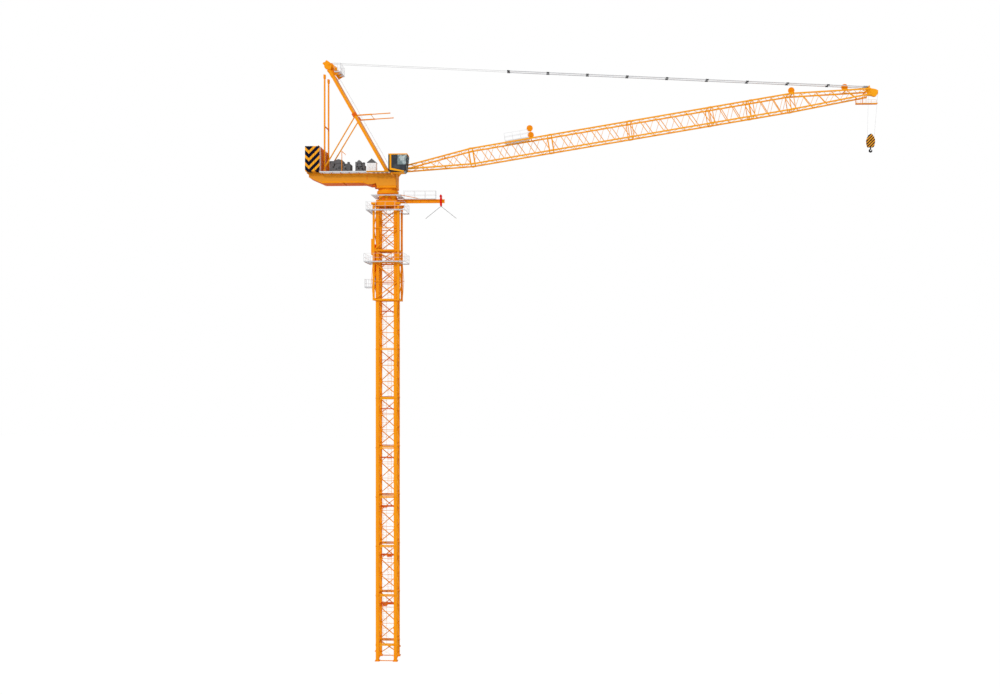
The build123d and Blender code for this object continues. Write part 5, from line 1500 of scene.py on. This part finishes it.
for y in (-pendant_y, pendant_y):
    knots = [eye + pull * (pendant_length * number / lengths) + aside(y) for number in range(lengths + 1)]
    for start, end in zip(knots, knots[1:]):
        for way in both:
            shift = aside(way * 0.0045)
            bars.append(member("tube", start + pull * 0.012 + shift, end - pull * 0.012 + shift, 0.0085))
        bars.append(on_bar("flat", start, 0.010, 0.026, 0.012, 0.008))
        bars.append(on_bar("flat", end, -0.026, -0.010, 0.012, 0.008))
    clips += [on_bar("box", knots[0], first, last, link_width) for first, last in first_links]
    for knot in knots[1:]:
        clips += [on_bar("box", knot, first, last, link_width) for first, last in knot_links]
        clips.append(pin(knot, 0.0035, 0.009, 16))
put("pendant_bars", bars, "pendants", zinc, "pendants")
put("pendant_links", clips, "pendants", black)
fork_eye = [(0.0062, -0.0075), (0.0115, -0.0075), (0.0115, 0.0075), (0.0062, 0.0075), (0.0062, -0.0075)]
pulley = [(0, -0.006), (0.0085, -0.006), (0.0055, -0.002), (0.0055, 0.002), (0.0085, 0.006), (0, 0.006)]
forks = []
for y in (-pendant_y, pendant_y):
    forks += [spun(fork_eye, eye + aside(y), 28), on_bar("box", eye + aside(y), 0.010, 0.028, 0.0130)]
forks.append(beam_over("box", block_end.x, block_end.z, pendant_y, 0.012, 0.012))
forks += [spun(pulley, block_end + aside(y), 28) for y in (-sheave_y, sheave_y)]
put("pendant_forks", forks, "pendants", machine_grey)

# Ropes: luffing ropes to the A-frame head, and hoisting ropes to the hook block
rope = 0.0014
rope_start = block_end + pull * 0.0078
falls = [member("tube", rope_start + aside(y), crown_point + Vector((0, y, 0.0015)), rope)
         for y in (-0.0324, -0.0276, 0.0276, 0.0324)]
luffing = put("luffing_rope_falls", falls, "pendants", wire, "luffing_ropes")
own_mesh(luffing)

wheel_centre = on_jib(wheel_s, 0, wheel_t)
hook_x = wheel_centre.x - 0.046
block_top = wheel_centre.z - 0.498
axle_z = block_top - 0.080
anchor = on_jib(jib_end - 0.0085, 0, tip_bottom - 0.005)
strands = [member("tube", (hook_x + 0.0395, 0, axle_z), (wheel_centre.x + 0.0405, 0, wheel_centre.z), rope),
           member("tube", (hook_x - 0.0395, 0, axle_z), (anchor.x, 0, anchor.z - rope), rope)]
hoisting = dressed("hoisting_rope_falls", strands, wire)
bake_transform(hoisting)
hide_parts("hoisting_ropes")

# Hook block: striped cheeks with a narrow crown and broad shoulders, over a sheave
hook_bands = hazard_finish("hook_bands", "orange_paint", 0.036, hook_x - 0.2)
shell_bottom = block_top - 0.160
cheek_side = [(0.005, block_top), (0.018, block_top - 0.012), (0.034, block_top - 0.036),
              (0.046, block_top - 0.066), (0.0485, block_top - 0.086), (0.047, block_top - 0.112),
              (0.041, block_top - 0.138), (0.034, shell_bottom)]
shield = [(hook_x + x, z) for x, z in cheek_side] + [(hook_x - x, z) for x, z in cheek_side[::-1]]
cheeks = [upright_plate([shield], low_y, low_y + 0.006, 0.0012) for low_y in (-0.019, 0.013)]
put("hook_block_cheeks", cheeks, "hook_block", hook_bands, "hook_block")
axle = [(0, -0.022), (0.007, -0.022), (0.007, -0.019), (0.005, -0.019), (0.005, 0.019), (0.007, 0.019),
        (0.007, 0.022), (0, 0.022)]
block_parts = grooved_wheel((hook_x, 0, axle_z), 0.038, 0.010, 0.005, 0.0045)
block_parts.append(spun(axle, (hook_x, 0, axle_z), 28))
for way in both:
    for x, z in ((0.034, block_top - 0.120), (0.020, block_top - 0.014)):
        block_parts.append(beam_over("tube", hook_x + way * x, z, 0.0205, 0.006))
    x_low, x_high = sorted((hook_x + way * 0.0066, hook_x + way * 0.028))
    block_parts.append(block((x_low, -0.0125, shell_bottom + 0.001), (x_high, 0.0125, shell_bottom + 0.011),
                             0.001))
put("hook_block_sheave", block_parts, "hook_block", black)

# Hook: a shank, a nut and a forged bowl that tapers to its point, with a safety latch
eye_height = shell_bottom - 0.041
hook_thickness = 0.00135
path = [(0.0, 0.034, 5.2), (0.0, 0.022, 5.6), (-0.006, 0.013, 6.0), (-0.0135, 0.005, 6.4),
        (-0.0148, -0.004, 6.8), (-0.010, -0.0122, 7.2), (0.0, -0.0152, 7.4), (0.0095, -0.0118, 6.8),
        (0.0148, -0.003, 5.6), (0.0150, 0.004, 4.2), (0.0128, 0.0105, 2.6), (0.0140, 0.0140, 1.2)]
bowl = bpy.data.curves.new("bowl", "CURVE")
bowl.dimensions = "3D"
bowl.bevel_depth = 1.0
bowl.bevel_resolution = 3
bowl.use_fill_caps = True
spline = bowl.splines.new("NURBS")
spline.points.add(len(path) - 1)
for point, (x, z, size) in zip(spline.points, path):
    point.co = (hook_x + x, 0, eye_height + z, 1)
    point.radius = size * hook_thickness
spline.order_u = 3
spline.use_endpoint_u = True
spline.resolution_u = 5
only(link("bowl", bowl))
bpy.ops.object.convert(target="MESH")
forged = bpy.context.object
tidy(forged)
nut_top = shell_bottom + 0.0200
shank = turned([(0, eye_height + 0.030), (0.006, eye_height + 0.030), (0.006, nut_top - 0.0075),
                (0.0118, nut_top - 0.0070), (0.0118, nut_top - 0.0020), (0.009, nut_top), (0, nut_top)],
               Matrix.Translation((hook_x, 0, 0)), 28)
latch = member("flat", (hook_x - 0.004, 0, eye_height + 0.016), (hook_x + 0.0125, 0, eye_height + 0.009),
               0.006, 0.0016)
put("forged_hook", [forged, shank, latch], "hook", black, "hook")

# Feed beam: flanged beam with web plates and end braces, platform, railing and stays
beam_low, beam_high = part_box("feed_beam")
beam_top, half_beam = 5.633, 0.022
beam_z = beam_top - half_beam
i_shape = [(-0.015, -half_beam), (0.015, -half_beam), (0.015, -0.016), (0.003, -0.016), (0.003, 0.016),
           (0.015, 0.016), (0.015, half_beam), (-0.015, half_beam), (-0.015, 0.016), (-0.003, 0.016),
           (-0.003, -0.016), (-0.015, -0.016)]
beam = [drawn([i_shape], beam_high.x - beam_low.x, 0.0006, axes((beam_low.x, 0, beam_z), Y, X))]
for way in both:
    y_low, y_high = sorted((way * 0.003, way * 0.0145))
    beam += [block((x - 0.0015, y_low, beam_top - 0.038), (x + 0.0015, y_high, beam_top - 0.006), 0.0003)
             for x in (0.20, 0.30, 0.40, 0.50, 0.60)]
    beam.append(member("box", (beam_high.x - 0.030, 0, beam_z - way * 0.014),
                       (beam_high.x - 0.002, 0, beam_z + way * 0.016), 0.010, 0.007))
put("feed_beam_steel", beam, "mast", orange, "feed_beam")
floor = beam_top + 0.004
line = [(0.198, -0.0385), (0.5905, -0.0385), (0.5905, 0.0385), (0.198, 0.0385)]
parts = grating((0.195, -0.040), (0.592, 0.040), floor) + railing(line, floor, 0.100, 0.13, 0.004)
put("feed_beam_platform", parts, "mast", zinc)
beam_stays = [member("tube", (0.130, y, 5.697), (0.440, y * 0.2, beam_top + 0.001), 0.005)
              for y in (-0.018, 0.018)]
put("feed_beam_stay", beam_stays, "mast", orange)

# Trolley: red side plates, a roller, tie plates and two spreading arms
low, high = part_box("feed_trolley")
middle_x = (low.x + high.x) / 2
side_plate = [(low.x, low.z + 0.012), (low.x + 0.005, low.z), (high.x - 0.005, low.z),
              (high.x, low.z + 0.012), (high.x, high.z - 0.012), (high.x - 0.006, high.z),
              (low.x + 0.006, high.z), (low.x, high.z - 0.012)]
window = [(middle_x - 0.004, high.z - 0.040), (middle_x + 0.004, high.z - 0.040),
          (middle_x + 0.004, high.z - 0.020), (middle_x - 0.004, high.z - 0.020)][::-1]
cart = [upright_plate([side_plate, window], y, y + 0.008, 0.001) for y in (-0.028, 0.020)]
for z in (low.z + 0.008, high.z - 0.008):
    cart.append(block((low.x + 0.001, -0.0205, z - 0.004), (high.x - 0.001, 0.0205, z + 0.004), 0.001))
cart.append(block((middle_x - 0.017, -0.020, high.z - 0.028), (middle_x + 0.013, 0.020, high.z - 0.010),
                  0.004))
put("trolley_frame", cart, "feed_trolley", signal_red, "feed_trolley")
barrel = [(0, -0.020), (0.003, -0.020), (0.003, -0.012), (0.0055, -0.012), (0.0055, 0.012), (0.003, 0.012),
          (0.003, 0.020), (0, 0.020)]
put("trolley_roller", [spun(barrel, (middle_x, 0, beam_top + 0.0058), 20)], "feed_trolley", bare_steel)
low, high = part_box("trolley_arms")
reach = (high.x - low.x) / 2 - 0.002
arms = []
for way in both:
    start, end = (middle_x, 0, high.z - 0.002), (middle_x + way * reach, 0, low.z + 0.002)
    arms += [member("tube", between(start, end, share), end, 0.0050) for share in (0, 0.95)]
put("trolley_spreaders", arms, "feed_trolley", machine_grey, "trolley_arms")

# Studio: a white floor and surround, a broad sky and one soft key light
floor_reach, floor_level, floor_grey, floor_glow, floor_share = 60.0, -0.001, 0.8, 1.06, 0.9
sky_colour, sky_strength = (0.99, 0.99, 1.0, 1), 0.76
key_energy, key_spread, key_turn = 1.1, radians(12), (radians(66), 0, radians(-22))


def seen_by(look, kinds, share, plain, bright, output):
    """Shows two kinds of ray a bright shader in place of most of the plain one."""
    first, second = [look.node("ShaderNodeLightPath", output=kind) for kind in kinds]
    seen = first.maths("MAXIMUM", first, second) * share
    blend = look.node("ShaderNodeMixShader", inputs={0: seen, 1: plain, 2: bright})
    look.feed(look.tree.nodes[output].inputs["Surface"], blend)


bpy.ops.mesh.primitive_plane_add(size=floor_reach, location=(0, 0, 0))
ground = bpy.context.object
ground.name = "studio_floor"
ground.location.z = floor_level
look = Finish("studio_floor")
look.set(Base_Color=(floor_grey, floor_grey, floor_grey, 1), Roughness=0.9, Specular_IOR_Level=0.0)
glow = look.node("ShaderNodeEmission", inputs={"Strength": floor_glow})
seen_by(look, ("Is Camera Ray", "Is Glossy Ray"), floor_share, Wire(look, look.shader.outputs[0]), glow,
        "Material Output")
ground.data.materials.append(look.owner)

bpy.context.scene.world = bpy.data.worlds.new("studio")
look = Finish("studio", owner=bpy.context.scene.world, shader="Background")
look.set(Color=sky_colour, Strength=sky_strength)
white = look.node("ShaderNodeBackground", inputs={"Color": (1, 1, 1, 1), "Strength": 1.0})
seen_by(look, ("Is Camera Ray", "Is Transmission Ray"), 1.0, Wire(look, look.shader.outputs[0]), white,
        "World Output")

sun = bpy.data.objects.new("key", bpy.data.lights.new("key", "SUN"))
bpy.context.scene.collection.objects.link(sun)
sun.data.energy = key_energy
sun.data.angle = key_spread
sun.rotation_euler = key_turn

bpy.context.scene.view_settings.view_transform = "Standard"
